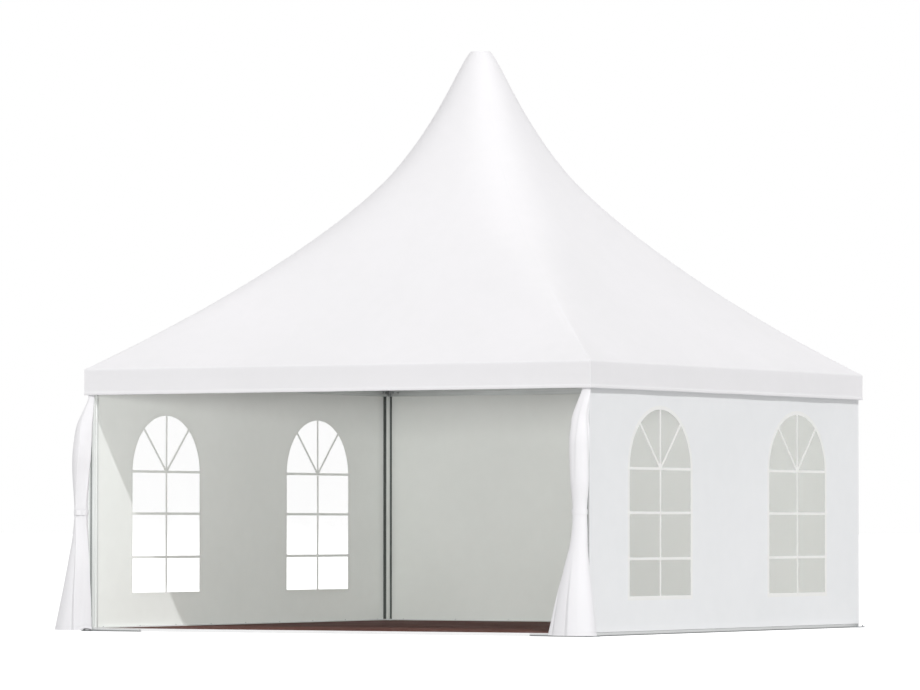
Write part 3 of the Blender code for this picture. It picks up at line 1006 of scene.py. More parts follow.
@dataclass
class Canopy:
    """The roof sheet from the peak to the eave, over its edge and down the valance, as one skin.

    Attributes:
        plan: the frame's places.
        peak_radius: radius of the peak's opening.
        knee: the hip's middle, as distance from the mast and height.
        slopes: the hip's slope at the peak, the knee and the eave.
        reaches: how far the hip's curve runs straight at the peak, above and below the knee, at the eave.
        squaring: how fast a ring goes from round at the peak to square at the eave.
        near: distances from a corner of the columns beside it.
        pitch: distance between the other columns.
        edge_radius: radius of the turn over the eave.
        edge_steps: facets round that turn.
        ridge: how far the rounding of a hip reaches from it.
        thick: the sheet's modelled thickness.
        hem: the rolled hem's section, as (distance outwards, height above its lower edge).
        drop_steps: rows in the valance above the hem.
        folds: each crease of the valance: height above its lower edge, width and depth.
        hip_rows: rows of the roof above and below the knee.
        edge_clear: the least distance from the last of them to the turn over the eave.
        weld_wide: width of the welded strips along the hips.
        weld_thick: their thickness.
        weld_lift: how far they lie off the sheet.
        weld_rows: their rows above and below the knee.
        weld_ends: their distance from the mast, and from the eave.
        weld_marks: places of their columns, as shares of half their width.
    """

    plan: Plan
    peak_radius: float = 0.088
    knee: Flat = (0.765, 4.085)
    slopes: tuple[float, float, float] = (1.110, 1.160, 0.462)
    reaches: tuple[float, float, float, float] = (0.116, 0.421, 0.335, 1.497)
    squaring: float = 2.2
    near: tuple[float, ...] = (0.0, 0.001, 0.0022, 0.005, 0.012, 0.024, 0.045, 0.09, 0.15)
    pitch: float = 0.08
    edge_radius: float = 0.022
    edge_steps: int = 7
    ridge: float = 0.002
    thick: float = 0.0025
    hem: tuple[Flat, ...] = (
        (0.0, 0.034), (0.0, 0.0272), (0.0012, 0.0256), (0.0020, 0.019),
        (0.0023, 0.012), (0.0018, 0.005), (0.0010, 0.001), (0.0, 0.0),
    )
    drop_steps: int = 9
    folds: tuple[tuple[float, float, float], ...] = ((0.175, 0.006, 0.0016), (0.098, 0.007, 0.0011))
    hip_rows: tuple[int, int] = (22, 40)
    edge_clear: float = 0.004
    weld_wide: float = 0.034
    weld_thick: float = 0.0008
    weld_lift: float = 0.0002
    weld_rows: tuple[int, int] = (18, 30)
    weld_ends: Flat = (0.14, 0.012)
    weld_marks: tuple[float, ...] = (-1.0, -0.6, -0.3, -0.1, 0.1, 0.3, 0.6, 1.0)

    @functools.cached_property
    def shares(self) -> list[float]:
        """The columns' places along a side, from -1 at its left corner to just short of 1."""
        half = self.plan.eave_face
        steps = round((half - self.near[-1]) / self.pitch)
        inner = [self.near[-1] + (half - self.near[-1]) * i / steps for i in range(1, steps)]
        left = [distance / half - 1.0 for distance in (*self.near, *inner)]
        return left + [0.0] + [-share for share in reversed(left[1:])]

    def hip(self, count_up: int, count_down: int) -> list[Flat]:
        """The hip as two cubic curves joined at the knee.

        Args:
            count_up: stations from the peak to the knee.
            count_down: stations from the knee to the eave.

        Returns:
            (half width of the ring there, height) pairs, from the peak to the eave.
        """
        peak = Vector((self.peak_radius, self.plan.peak_height))
        eave = Vector((self.plan.eave_face * ROOT_2, self.plan.eave_height))
        knee = Vector(self.knee)
        ways = [Vector((1.0, -slope)) for slope in self.slopes]
        upper = (peak, peak + self.reaches[0] * ways[0], knee - self.reaches[1] * ways[1], knee)
        lower = (knee, knee + self.reaches[2] * ways[1], eave - self.reaches[3] * ways[2], eave)
        stations = [self.cubic(upper, i / count_up) for i in range(count_up)]
        stations += [self.cubic(lower, i / count_down) for i in range(count_down + 1)]
        return [(point.x / ROOT_2, point.y) for point in stations]

    @staticmethod
    def cubic(points: Sequence[Vector], t: float) -> Vector:
        """The point of a cubic curve with four control points."""
        a, b, c, d = points
        ab, bc, cd = a.lerp(b, t), b.lerp(c, t), c.lerp(d, t)
        return ab.lerp(bc, t).lerp(bc.lerp(cd, t), t)

    def ring_point(self, flat: float, share: float) -> Vector:
        """A ring's point in plan, on the front side.

        Args:
            flat: the ring's half width where it is square.
            share: place along the side, from -1 at its left end to 1 at its right end.

        Returns:
            The point at height 0.
        """
        span = self.plan.eave_face - self.peak_radius / ROOT_2
        to_eave = min(max((self.plan.eave_face - flat) / span, 0.0), 1.0)
        angle = math.atan(share)
        big, small = abs(math.cos(angle)), abs(math.sin(angle))
        power = 2.0 / max(to_eave, 0.001) ** self.squaring
        reach = flat * 2 ** (1 / power) / big * (1 + (small / big) ** power) ** (-1 / power)
        near = max(0.0, 1.0 - flat * (1.0 - abs(share)) / self.ridge)
        reach -= self.ridge * (ROOT_2 - 1.0) * near**2 * (1.0 - to_eave)
        return Vector((reach * math.sin(angle), -reach * math.cos(angle), 0.0))

    def slack(self, flat: float, share: float) -> float:
        """How far the taut sheet stands off its true form, for soft creases that run to the corners."""
        low = smooth_step((flat - 0.9) / 1.4)
        corner = math.exp(-flat * (1.0 - abs(share)) / 0.45)
        lines = wander(share * 9.0, flat * 0.7, 3.1) * 0.0022 + wander(share * 31.0, flat * 0.9, 8.7) * 0.0006
        pleats = wander(share * 60.0, flat * 1.5, 5.3) * 0.0035 * corner
        return low * (lines + pleats) * smooth_step((self.plan.eave_face - flat) / 0.05)

    def ring(self, flat: float, height: float) -> list[Vector]:
        """All the points of the roof's ring at one height, counter-clockwise from the front left."""
        return [
            side.turn @ (self.ring_point(flat, share) + (height + self.slack(flat, share)) * UP)
            for side in Side
            for share in self.shares
        ]

    def edge_stations(self) -> list[Flat]:
        """The turn over the eave, as (distance outwards, height), ending upright."""
        turn = math.pi / 2 - math.atan(self.slopes[2] * ROOT_2)
        radius, steps = self.edge_radius, self.edge_steps
        middle = (self.plan.eave_face - radius, self.plan.eave_height - radius * math.tan(turn / 2))
        angles = [turn * (1 - i / steps) for i in range(steps + 1)]
        return [(middle[0] + radius * math.cos(a), middle[1] + radius * math.sin(a)) for a in angles]

    def valance_stations(self, top: float) -> list[Flat]:
        """The valance below the turn: the plain drop and the rolled hem.

        Args:
            top: height where the turn over the eave ends.

        Returns:
            (distance outwards, height) pairs going down.
        """
        low, steps = self.plan.hem_height, self.drop_steps
        drop = low + self.hem[0][1] - top
        marks = [(0.0, top + drop * i / steps) for i in range(1, steps + 1)]
        marks += [(out, low + up) for out, up in self.hem[1:]]
        return [(self.plan.eave_face + out, height) for out, height in marks]

    def crease(self, share: float, height: float) -> float:
        """Two soft creases that run along the valance from each corner and die out."""
        from_corner = (1.0 - abs(share)) * self.plan.eave_face
        fade = smooth_step(from_corner / 0.06) * (1.0 - smooth_step((from_corner - 0.25) / 0.45))
        above = height - self.plan.hem_height
        return fade * sum(deep * math.exp(-(((above - at) / wide) ** 2)) for at, wide, deep in self.folds)

    def valance_ring(self, flat: float, height: float) -> list[Vector]:
        """A ring of the valance, with its creases and the slight waves of its free hem."""
        free = smooth_step((self.plan.hem_height + 0.15 - height) / 0.15)
        points = []
        for side in Side:
            for share in self.shares:
                wave = wander(share * 5.5 + side.value * 7.0, height * 2.0, 1.7) * 0.0030
                wave += wander(share * 17.0 + side.value * 3.0, height * 4.0, 6.1) * 0.0010
                wave *= free * smooth_step((1.0 - abs(share)) * 9.0)
                dip = wander(share * 4.0 + side.value * 5.0, 0.0, 2.9) * 0.0015 * free
                point = self.ring_point(flat, share) + (height + dip) * UP
                points.append(side.turn @ (point + (wave - self.crease(share, height)) * OUT))
        return points

    def weld_point(self, corner: Corner, station: Flat, offset: float) -> Vector:
        """A point just above the roof, at a distance across a hip."""
        flat, height = station
        side, way = (Side.FRONT, 1.0) if offset < 0 else (Side.RIGHT, -1.0)
        share = way * (1.0 - abs(offset) / flat)
        lift = height + self.slack(flat, share) + self.weld_lift
        return corner.turn @ side.turn @ (self.ring_point(flat, share) + lift * UP)

    def hip_welds(self) -> Object:
        """The lapped strips along the four hips."""
        offsets = [self.weld_wide / 2 * mark for mark in self.weld_marks]
        first, last = self.weld_ends[0] / ROOT_2, self.plan.eave_face - self.weld_ends[1]
        stations = [station for station in self.hip(*self.weld_rows) if first < station[0] < last]
        strips = []
        for corner in Corner:
            rows = [[self.weld_point(corner, station, offset) for offset in offsets] for station in stations]
            strips.append(thicken(sheet_mesh("strip", rows), self.weld_thick, 1.0))
        return joined("canopy_hip_welds", strips)

    def build(self) -> Object:
        edge = self.edge_stations()
        last = edge[0][0] - self.edge_clear
        over = [station for station in self.hip(*self.hip_rows) if station[0] < last]
        rows = [self.ring(*station) for station in over + edge]
        rows += [self.valance_ring(*station) for station in self.valance_stations(edge[-1][1])]
        canopy = shade(thicken(sheet_mesh("canopy_sheet", rows, around=True), self.thick), 50.0)
        nodes = [f"{kind}_{side.label}" for kind in ("roof_panel", "valance") for side in Side]
        piece(canopy, ROOF_SHEET, nodes)
        welds = piece(shade(self.hip_welds()), ROOF_WELD)
        return canopy


@dataclass
class PeakCap:
    """The cap that closes the roof's opening, with its clamping rim.

    Attributes:
        rim: the rim's section, as (height, distance in from the cap's edge).
        shoulder: height, and share of the radius, of the ring where the dome starts.
        halfway: share of the radius, and of the crown left above, of the ring on the dome.
        crown: how far its middle stands above its rim.
        centre: radius of the faces that close it at the middle.
        sides: facets round it.
    """

    rim: tuple[Flat, ...] = ((0.0, 0.006), (0.004, 0.0005), (0.0115, 0.0), (0.0155, 0.0015), (0.0175, 0.006))
    shoulder: Flat = (0.0182, 0.7)
    halfway: float = 0.35
    crown: float = 0.004
    centre: float = 0.0005
    sides: int = 64

    def build(self) -> Object:
        """Make the cap from its section."""
        low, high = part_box("peak_cap")
        radius, thick = high.x, high.z - low.z
        section = [(0.0, self.centre), *((up, radius - inset) for up, inset in self.rim)]
        section.append((self.shoulder[0], radius * self.shoulder[1]))
        section += [(thick - self.crown * self.halfway, radius * self.halfway), (thick, self.centre)]
        cap = spindle("peak_cap_dressed", low.z * UP, high.z * UP, section, self.sides)
        return piece(shade(cap), ROOF_SHEET, ["peak_cap"])


@dataclass
class WallSheet:
    """A membrane wall from post to post, with its windows welded in.

    Attributes:
        plan: the frame's places.
        side: the side that it closes.
        windows: distance of each window's middle from the wall's middle.
        window_wide: a window's width.
        sill: height of the windows' lower edge.
        spring: height where the arch starts.
        crown: height of the arch's top.
        bars: heights of the cross bars under the one at the spring.
        bar_wide: width of a bar.
        bar_thick: thickness of a bar through the pane.
        bar_under: how far the bars run under the rim.
        slant: where a slanting bar meets the arch, in degrees above level.
        arch_steps: points round a window's arch.
        side_steps: points along each of its straight sides.
        rim_wide: width of a window's rim.
        rim_at: how far the rim's middle lies outside the window.
        rim_proud: how much thicker than the sheet the rims are.
        under_rim: how far a pane runs under its rim.
        pane_thick: a pane's thickness.
        pane_rings: a pane's rings, as shares of its size.
        hem_wide: width of the hem at the ground.
        edge_wide: width of the hems at the posts.
        edge_at: distance of their middles from the wall's ends.
        hem_short: how far the hems stop before the sheet's edges.
        hem_proud: how much thicker than the sheet they are.
        thick: the sheet's thickness.
        stand: how far the sheet's middle stands outside the posts.
        foot_gap: the gap between the sheet and the ground rail.
        bead: radius of the beads in the posts' outer channels.
        bead_at: a bead's distance in from the wall's end and from the posts' face.
        bead_short: how far a bead stops before the rail and before the beam.
        edge_strip: where a dark strip, painted shade of the gap between wall and post, starts and ends behind
            the posts' face, and how far it stands out.
        strip_short: how far it stops before the rail and the beam.
    """

    plan: Plan
    side: Side
    windows: tuple[float, ...] = ()
    window_wide: float = 1.098
    sill: float = 0.318
    spring: float = 1.399
    crown: float = 1.907
    bars: tuple[float, ...] = (1.026, 0.640)
    bar_wide: float = 0.022
    bar_thick: float = 0.0042
    bar_under: float = 0.006
    slant: float = 46.5
    arch_steps: int = 40
    side_steps: int = 18
    rim_wide: float = 0.034
    rim_at: float = 0.009
    rim_proud: float = 0.0016
    under_rim: float = 0.010
    pane_thick: float = 0.0008
    pane_rings: tuple[float, ...] = (1.0, 0.9, 0.78, 0.64, 0.5, 0.36, 0.22, 0.1, 0.0)
    hem_wide: float = 0.045
    edge_wide: float = 0.030
    edge_at: float = 0.016
    hem_short: float = 0.002
    hem_proud: float = 0.0009
    thick: float = 0.0016
    stand: float = 0.0022
    foot_gap: float = 0.0003
    bead: float = 0.0030
    bead_at: Flat = (0.022, 0.0042)
    bead_short: Flat = (0.02, 0.01)
    edge_strip: tuple[float, float, float] = (0.003, 0.034, 0.0012)
    strip_short: float = 0.001

    @property
    def out(self) -> Vector:
        """The direction away from the tent."""
        return self.side.turn @ OUT

    @property
    def foot(self) -> float:
        """Height of the sheet's lower edge."""
        return self.plan.rail_top + self.foot_gap

    def belly(self, x: float, z: float) -> float:
        """How far the sheet blows outwards at a place, nothing at its edges."""
        half, low, high = self.plan.post_face, self.plan.rail_top, self.plan.wall_top
        edge = min((half - abs(x)) / 0.5, (z - low) / 0.25, (high - z) / 0.35)
        seed = 11.0 + self.side.value * 4.0
        swell = 0.0022 + 0.0020 * wander(x * 0.9, z * 1.3, seed) + 0.0007 * wander(x * 3.1, z * 2.3, seed + 1)
        return smooth_step(edge) * max(swell, 0.0)

    def at(self, x: float, z: float, out: float = 0.0) -> Vector:
        """The point of the wall's middle surface at a place, moved outwards by a distance."""
        away = self.plan.post_face + self.stand + self.belly(x, z) + out
        return self.side.turn @ Vector((x, -away, z))

    def outline(self, middle: float, grow: float = 0.0, fine: int = 1) -> list[Flat]:
        """A window's outline, counter-clockwise from the right end of the spring line.

        Args:
            middle: the window's place along the wall.
            grow: how much bigger it is all round.
            fine: how many times more points than the least.

        Returns:
            The outline's points on the wall.
        """
        wide, rise = self.window_wide / 2 + grow, self.crown - self.spring + grow
        bottom = self.sill - grow
        tall = self.spring - bottom
        arch = around_turn(self.arch_steps * fine, math.pi)
        shares = around_turn(self.side_steps * fine, 1.0)
        points = [(wide * math.cos(a), self.spring + rise * math.sin(a)) for a in arch]
        points += [(-wide, self.spring - tall * share) for share in shares]
        points += [(-wide + 2 * wide * share, bottom) for share in shares]
        points += [(wide, bottom + tall * share) for share in shares]
        return [(middle + x, z) for x, z in points]

    def bays(self) -> list[tuple[float, float, float]]:
        """Each window's bay: its left and right edge and the window's middle."""
        half = self.plan.post_face
        edges = [-half] + [(a + b) / 2 for a, b in zip(self.windows, self.windows[1:])] + [half]
        return list(zip(edges, edges[1:], self.windows))

    def bay_rows(
        self,
        left: float,
        right: float,
        middle: float,
        rings: int = 18,
        even: int = 168,
        crowding: float = 1.25,
    ) -> Rows:
        """Rings from a window's outline out to the edges of its bay, on common spokes.

        Args:
            left: the bay's left edge.
            right: its right edge.
            middle: the window's middle.
            rings: how many steps the rings take outwards.
            even: the number of even spokes, to which the corners' own are added.
            crowding: how much closer together the rings are at the window.

        Returns:
            The rings, from the window outwards.
        """
        low, high = self.foot, self.plan.wall_top
        wide, rise, drop = self.window_wide / 2, self.crown - self.spring, self.spring - self.sill
        corners = [(x, z) for x in (left, right) for z in (low, high)]
        corners += [(middle + wide, self.sill), (middle - wide, self.sill)]
        turns = {round(turn, 9) for turn in around_turn(even)}
        turns |= {round(math.atan2(z - self.spring, x - middle) % TURN, 9) for x, z in corners}
        spokes = []
        for turn in sorted(turns):
            c, s = math.cos(turn), math.sin(turn)
            level, steep = max(abs(c), TINY), max(abs(s), TINY)
            if s >= 0:
                inner = 1.0 / math.hypot(c / wide, s / rise)
            else:
                inner = min(wide / level, drop / -s)
            across = (right - middle if c > 0 else middle - left) / level
            upright = (high - self.spring if s > 0 else self.spring - low) / steep
            spokes.append((c, s, inner, min(across, upright)))
        rows = []
        for i in range(rings + 1):
            share = (i / rings) ** crowding
            reaches = [(c, s, inner + (outer - inner) * share) for c, s, inner, outer in spokes]
            rows.append([self.at(middle + c * reach, self.spring + s * reach) for c, s, reach in reaches])
        return rows

    def plain_rows(self, along: int = 96, down: int = 44) -> Rows:
        """A grid over a wall with no windows."""
        low, high, half = self.foot, self.plan.wall_top, self.plan.post_face
        xs = [-half + 2 * half * i / along for i in range(along + 1)]
        return [[self.at(x, high + (low - high) * j / down) for x in xs] for j in range(down + 1)]

    def outwards(self, obj: Object) -> Object:
        """Turn a one-layer mesh so that its faces point away from the tent."""
        bm = new_bmesh(obj.data)
        bmesh.ops.remove_doubles(bm, verts=bm.verts, dist=TOUCHING)
        bmesh.ops.reverse_faces(bm, faces=[face for face in bm.faces if face.normal.dot(self.out) < 0])
        close_bmesh(bm, obj.data)
        return obj

    def map_flat(self, obj: Object) -> Object:
        """Lay the weave's map straight along and up the wall."""
        mesh = obj.data
        layer = mesh.uv_layers.get("cloth") or mesh.uv_layers.new(name="cloth")
        back = self.side.turn.inverted()
        places = [back @ vertex.co for vertex in mesh.vertices]
        corners = [places[loop.vertex_index] for loop in mesh.loops]
        layer.data.foreach_set("uv", [value for place in corners for value in (place.x, place.z)])
        return obj

    def strip(self, path: Sequence[Flat], wide: float, thick: float, closed: bool = False) -> Object:
        """A flat bar of even width along a path on the wall, as a closed solid.

        Args:
            path: its middle line.
            wide: its width.
            thick: its thickness, half to each side of the wall's middle.
            closed: whether it comes back to its start.

        Returns:
            The mesh object.
        """
        points = [Vector(point) for point in path]
        count, half = len(points), thick / 2
        rings = []
        for i, point in enumerate(points):
            before = points[i - 1] if closed or i > 0 else point
            after = points[(i + 1) % count] if closed or i < count - 1 else point
            into = (point - before).normalized() if (point - before).length else (after - point).normalized()
            away = (after - point).normalized() if (after - point).length else into
            along = (into + away).normalized()
            mitre = 1.0 / max(0.5, along.dot(into))
            side = Vector((-along.y, along.x)) * (wide / 2 * mitre)
            edges = ((side, half), (side, -half), (-side, -half), (-side, half))
            rings.append([self.at(*(point + across), out) for across, out in edges])
        return prism("strip", rings, closed)

    def straight(self, start: Flat, end: Flat, step: float = 0.06) -> list[Flat]:
        """Points along a straight line on the wall."""
        count = max(2, round(math.dist(start, end) / step))
        return [tuple(Vector(start).lerp(Vector(end), i / count)) for i in range(count + 1)]

    def window_bars(self, middle: float, thinner: float = 0.0003) -> list[Object]:
        """The bars of one window, each a little thinner than the one that it crosses."""
        under, rise = self.bar_under, self.crown - self.spring
        wide = self.window_wide / 2 + under
        lines = [((middle, self.sill - under), (middle, self.crown + under))]
        for height in (self.spring, *self.bars):
            lines.append(((middle - wide, height), (middle + wide, height)))
        turn = math.radians(self.slant)
        reach = 1.0 / math.hypot(math.cos(turn) / (self.window_wide / 2), math.sin(turn) / rise) + under
        for way in (-1, 1):
            tip = (middle + way * reach * math.cos(turn), self.spring + reach * math.sin(turn))
            lines.append(((middle, self.spring), tip))
        return [
            self.strip(self.straight(*line), self.bar_wide, self.bar_thick - thinner * min(i, 2 + i // 4))
            for i, line in enumerate(lines)
        ]

    def pane(self, number: int, middle: float) -> Object:
        """One window's clear sheet, from its middle out under the rim."""
        edge = self.outline(middle, self.under_rim)
        centre = Vector((middle, (self.sill + self.crown) / 2))
        rows = [[self.at(*centre.lerp(Vector(point), share)) for point in edge] for share in self.pane_rings]
        label = self.side.label
        sheet = self.outwards(sheet_mesh(f"window_sheet_{label}_{number}", rows, around=True))
        pane = shade(self.map_flat(thicken(sheet, self.pane_thick, 0.0)))
        piece(pane, WINDOW_FILM, [f"window_pane_{label}_{number}"])
        return pane

    def lined(self, obj: Object, outer: Cloth) -> Object:
        """Finish a strip of the wall, with the greyer lining, painted shade of the room, on the faces that
        look into the tent.
        """
        for coat in (outer, WALL_SHADE_LINING):
            obj.data.materials.append(coat.material())
        for face in obj.data.polygons:
            face.material_index = int(face.normal.dot(self.out) < -0.5)
        return piece(shade(obj), None)

    def hems(self) -> Object:
        """The wall's welded hems, at the ground and at both posts."""
        low, half, wide = self.plan.rail_top + 2 * self.foot_gap, self.plan.post_face, self.hem_wide
        end, thick = half - self.hem_short, self.thick + self.hem_proud
        lines = [(wide, (-end, low + wide / 2), (end, low + wide / 2))]
        for way in (-1, 1):
            x = way * (half - self.edge_at)
            lines.append((self.edge_wide, (x, low + wide), (x, self.plan.wall_top - self.hem_short)))
        parts = [self.strip(self.straight(*ends, step=0.12), width, thick) for width, *ends in lines]
        return self.lined(joined(f"wall_hem_{self.side.label}", parts), WELD_SHEET)

    def frames(self) -> list[Object]:
        """Each window's rim and bars."""
        found, thick = [], self.thick + self.rim_proud
        for number, middle in enumerate(self.windows, 1):
            rim = self.strip(self.outline(middle, self.rim_at, fine=2), self.rim_wide, thick, closed=True)
            bars = joined(f"window_bars_{self.side.label}_{number}", [rim] + self.window_bars(middle))
            found.append(self.lined(bars, BAR_SHEET))
        return found

    def beads(self) -> Object:
        """The wall's dark upright edges, painted shade of the gaps at the posts: beads in the posts' outer
        channels, strips over the inner ones.
        """
        half, (inset, deep) = self.plan.post_face, self.bead_at
        foot, head = self.plan.rail_top, self.plan.beam_bottom
        ends = (foot + self.bead_short[0], head - self.bead_short[1])
        strip_ends = (foot + self.strip_short, head - self.strip_short)
        near, far, proud = self.edge_strip
        paths, parts = [], []
        for way in (-1, 1):
            paths.append([self.side.turn @ Vector((way * (half - inset), -half + deep, z)) for z in ends])
            face = way * (half - self.plan.post_wide)
            section = [(face, near), (face, far), (face - way * proud, far), (face - way * proud, near)]
            parts.append(bar(self.side, half, section, strip_ends, upright=True))
        beads = piping.run("beads", guide_lines(paths), PAINTED_SHADE_EDGE, Radius=self.bead, Sides=12)
        bead = joined(f"wall_bead_{self.side.label}", [beads, *parts])
        return piece(shade(bead), PAINTED_SHADE_EDGE)

    def build(self) -> None:
        label, plan = self.side.label, self.plan
        if self.windows:
            parts = [sheet_mesh("bay", self.bay_rows(*bay), around=True) for bay in self.bays()]
            sheet = joined(f"wall_sheet_{label}", parts)
        else:
            sheet = sheet_mesh(f"wall_sheet_{label}", self.plain_rows())
        # the inner faces take the greyer lining, which paints the room's shade
        sheet = thicken(self.outwards(sheet), self.thick, 0.0, coats=(WALL_SHEET, WALL_SHADE_LINING))
        piece(shade(self.map_flat(sheet)), None, [f"wall_{label}"])
        for number, middle in enumerate(self.windows, 1):
            self.pane(number, middle)
        trim = [self.hems(), *self.frames(), self.beads()]


@dataclass(frozen=True)
class Pleat:
    """A fold that runs down a drape.

    Attributes:
        bearings: its crest's place round the drape at each level, in degrees from the camera's side.
        steps: how far its crest stands proud at each level, as a share of the radius.
        lead: how many degrees it rises over, on the left.
        span: how many degrees it falls over, on the right.
        flat: half the width in degrees of the flat panel at its right, or 0 for none.
    """

    bearings: tuple[float, ...]
    steps: tuple[float, ...]
    lead: float
    span: float
    flat: float = 0.0


@dataclass(eq=False)
class Drape:
    """A gathered drape at a front corner, tied at its waist.

    Attributes:
        name: left or right.
        cut: the cloth's width and length before it was gathered.
        seed: what its small waves are drawn from.
        fullness: the drape's mean radius at each level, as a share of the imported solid's.
        lean: how far it hangs towards +X at each level.
        pleats: the folds that show.
        hitch: bearing and lift of the place where the hem is caught up.
        hitch_reach: how far round, in degrees, and how far up the drape that lift is felt.
        facing: bearing of the camera's side, in degrees from the front towards +X.
        levels: heights from the hem to the head that the folds and the fullness are given at.
        tucks: how many deep folds lie at the back.
        tucked: the bearings of the first and the last of them.
        tuck_deep: the least and the greatest depth of a tuck, as a share of the radius.
        tuck_wide: a tuck's width in degrees, and how far it varies.
        tuck_sway: how far a tuck sways in degrees, and its phase from tuck to tuck and to the metre.
        ripple: the small waves' height as a share of the radius, length in degrees and number to the metre.
        around: points round it.
        rows: rows down it.
        thick: the cloth's thickness.
        band: the tie band's section, as (share of its width down, how far it stands off).
        band_around: points round the tie band.
        band_reach: how many degrees to either side a fold lifts the band, and the steps looked at.
        band_clear: how far it stands off that fold, as a share of the radius.
        seams: the stitches' heights above the hem.
        seam_proud: how far they stand off, as a share of the radius.
        seam_thread: their distance apart, length and radius.
    """

    name: str
    cut: Flat
    seed: float
    fullness: tuple[float, ...]
    lean: tuple[float, ...]
    pleats: tuple[Pleat, ...]
    hitch: Flat = (0.0, 0.0)
    hitch_reach: Flat = (32.0, 0.35)
    facing: float = 30.5
    levels: tuple[float, ...] = (0.012, 0.32, 0.58, 0.80, 1.03, 1.33, 1.60, 1.83, 2.06)
    tucks: int = 8
    tucked: Flat = (84.0, 266.0)
    tuck_deep: Flat = (0.12, 0.78)
    tuck_wide: Flat = (6.5, 1.2)
    tuck_sway: tuple[float, float, float] = (2.0, 2.1, 2.0)
    ripple: tuple[float, float, float] = (0.012, 22.0, 2.2)
    around: int = 300
    rows: int = 110
    thick: float = 0.0012
    band: tuple[Flat, ...] = ((0.0, 0.0), (0.12, 0.004), (0.5, 0.008), (0.88, 0.004), (1.0, 0.0))
    band_around: int = 96
    band_reach: tuple[int, int] = (15, 3)
    band_clear: float = 0.006
    seams: Flat = (0.028, 0.033)
    seam_proud: float = 0.004
    seam_thread: tuple[float, float, float] = (0.0058, 0.0042, 0.0005)

    @functools.cached_property
    def stations(self) -> list[tuple[float, ...]]:
        """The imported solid's heights, middles along X and Y, half widths and half depths, as columns."""
        rings: dict[float, list[Vector]] = {}
        for vertex in frame["nodes"][f"curtain_{self.name}"].data.vertices:
            rings.setdefault(round(vertex.co.z, 4), []).append(vertex.co)
        found = []
        for height in sorted(rings):
            spans = [(min(p[k] for p in rings[height]), max(p[k] for p in rings[height])) for k in (0, 1)]
            middles = [(low + high) / 2 for low, high in spans]
            found.append((height, *middles, *((high - low) / 2 for low, high in spans)))
        return list(zip(*found))

    @staticmethod
    def eased(heights: Sequence[float], values: Sequence[float], height: float) -> float:
        """A smooth curve through values at given heights, with no overshoot."""
        last = len(heights) - 2
        i = next(k for k in range(last + 1) if height <= heights[k + 1] or k == last)
        slopes = [(values[k + 1] - values[k]) / (heights[k + 1] - heights[k]) for k in range(last + 1)]
        ends = []
        for k in (i, i + 1):
            around = slopes[max(k - 1, 0):k + 1]
            turns = len(around) == 2 and around[0] * around[1] <= 0
            ends.append(0.0 if turns else sum(around) / len(around))
        span = heights[i + 1] - heights[i]
        t = min(max((height - heights[i]) / span, 0.0), 1.0)
        mixed = (2 * t**3 - 3 * t**2 + 1) * values[i] + (t**3 - 2 * t**2 + t) * span * ends[0]
        return mixed + (3 * t**2 - 2 * t**3) * values[i + 1] + (t**3 - t**2) * span * ends[1]

    def level(self, values: Sequence[float], height: float) -> float:
        """The value at a height of something that is given at each level."""
        return self.eased(self.levels, values, height)

    def solid(self, height: float) -> list[float]:
        """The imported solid's middle along X and Y, half width and half depth at a height."""
        return [self.eased(self.stations[0], column, height) for column in self.stations[1:]]

    def folded(self, bearing: float, height: float) -> float:
        """The radius with its folds alone at a bearing from the camera's side."""
        radius = self.level(self.fullness, height)
        for pleat in self.pleats:
            past = nearest_turn(bearing - self.level(pleat.bearings, height))
            slope = past / pleat.lead if past < 0.0 else -past / pleat.span
            radius += self.level(pleat.steps, height) * max(1.0 + slope, 0.0)
        return radius

    def swell(self, bearing: float, height: float) -> float:
        """The drape's radius at a bearing from the camera's side, as a share of the solid's."""
        radius = self.folded(bearing, height)
        for pleat in self.pleats:
            crest = self.level(pleat.bearings, height)
            turn = math.radians(nearest_turn(bearing - crest - pleat.flat))
            if pleat.flat and abs(turn) < 1.4:
                away = self.folded(crest, height) * math.cos(math.radians(pleat.flat))
                radius = min(radius, away / math.cos(turn))
        deep = self.tuck_depth(height)
        (first, last), (wide, varied) = self.tucked, self.tuck_wide
        sway, by_tuck, by_height = self.tuck_sway
        for tuck in range(self.tucks):
            at = first + (last - first) * tuck / (self.tucks - 1)
            at += sway * math.sin(by_tuck * tuck + by_height * height)
            past = (bearing % 360.0 - at) / (wide + varied * math.sin(tuck))
            radius -= deep * math.exp(-past * past)
        high, wide, tall = self.ripple
        return radius + high * wander(bearing / wide, height * tall, self.seed)

    @functools.cache
    def tuck_depth(self, height: float) -> float:
        """How deep the tucks are at a height, as a share of the radius, to take up the cloth's width."""
        _, _, wide, deep = self.solid(height)
        around = math.pi * (3 * (wide + deep) - math.sqrt((3 * wide + deep) * (wide + 3 * deep)))
        mean, (least, most) = (wide + deep) / 2, self.tuck_deep
        return min(max((self.cut[0] - around) / (2 * self.tucks * mean), least), most)

    def point(self, bearing: float, height: float, share: float) -> Vector:
        """A point of the drape at a bearing and a height, at a share of the solid's radius."""
        x, y, wide, deep = self.solid(height)
        turn = math.radians(self.facing + bearing)
        about, up = self.hitch_reach
        caught = math.exp(-((nearest_turn(bearing - self.hitch[0]) / about) ** 2))
        lift = self.hitch[1] * caught * (1.0 - smooth_step((height - self.stations[0][0]) / up))
        x += self.level(self.lean, height)
        return Vector((x + wide * share * math.sin(turn), y - deep * share * math.cos(turn), height + lift))

    def ring(self, height: float, proud: float = 0.0) -> list[Vector]:
        """One closed row of the drape, counter-clockwise seen from above, moved outwards by a share."""
        bearings = around_turn(self.around, 360.0)
        return [self.point(b, height, self.swell(b, height) + proud) for b in bearings]

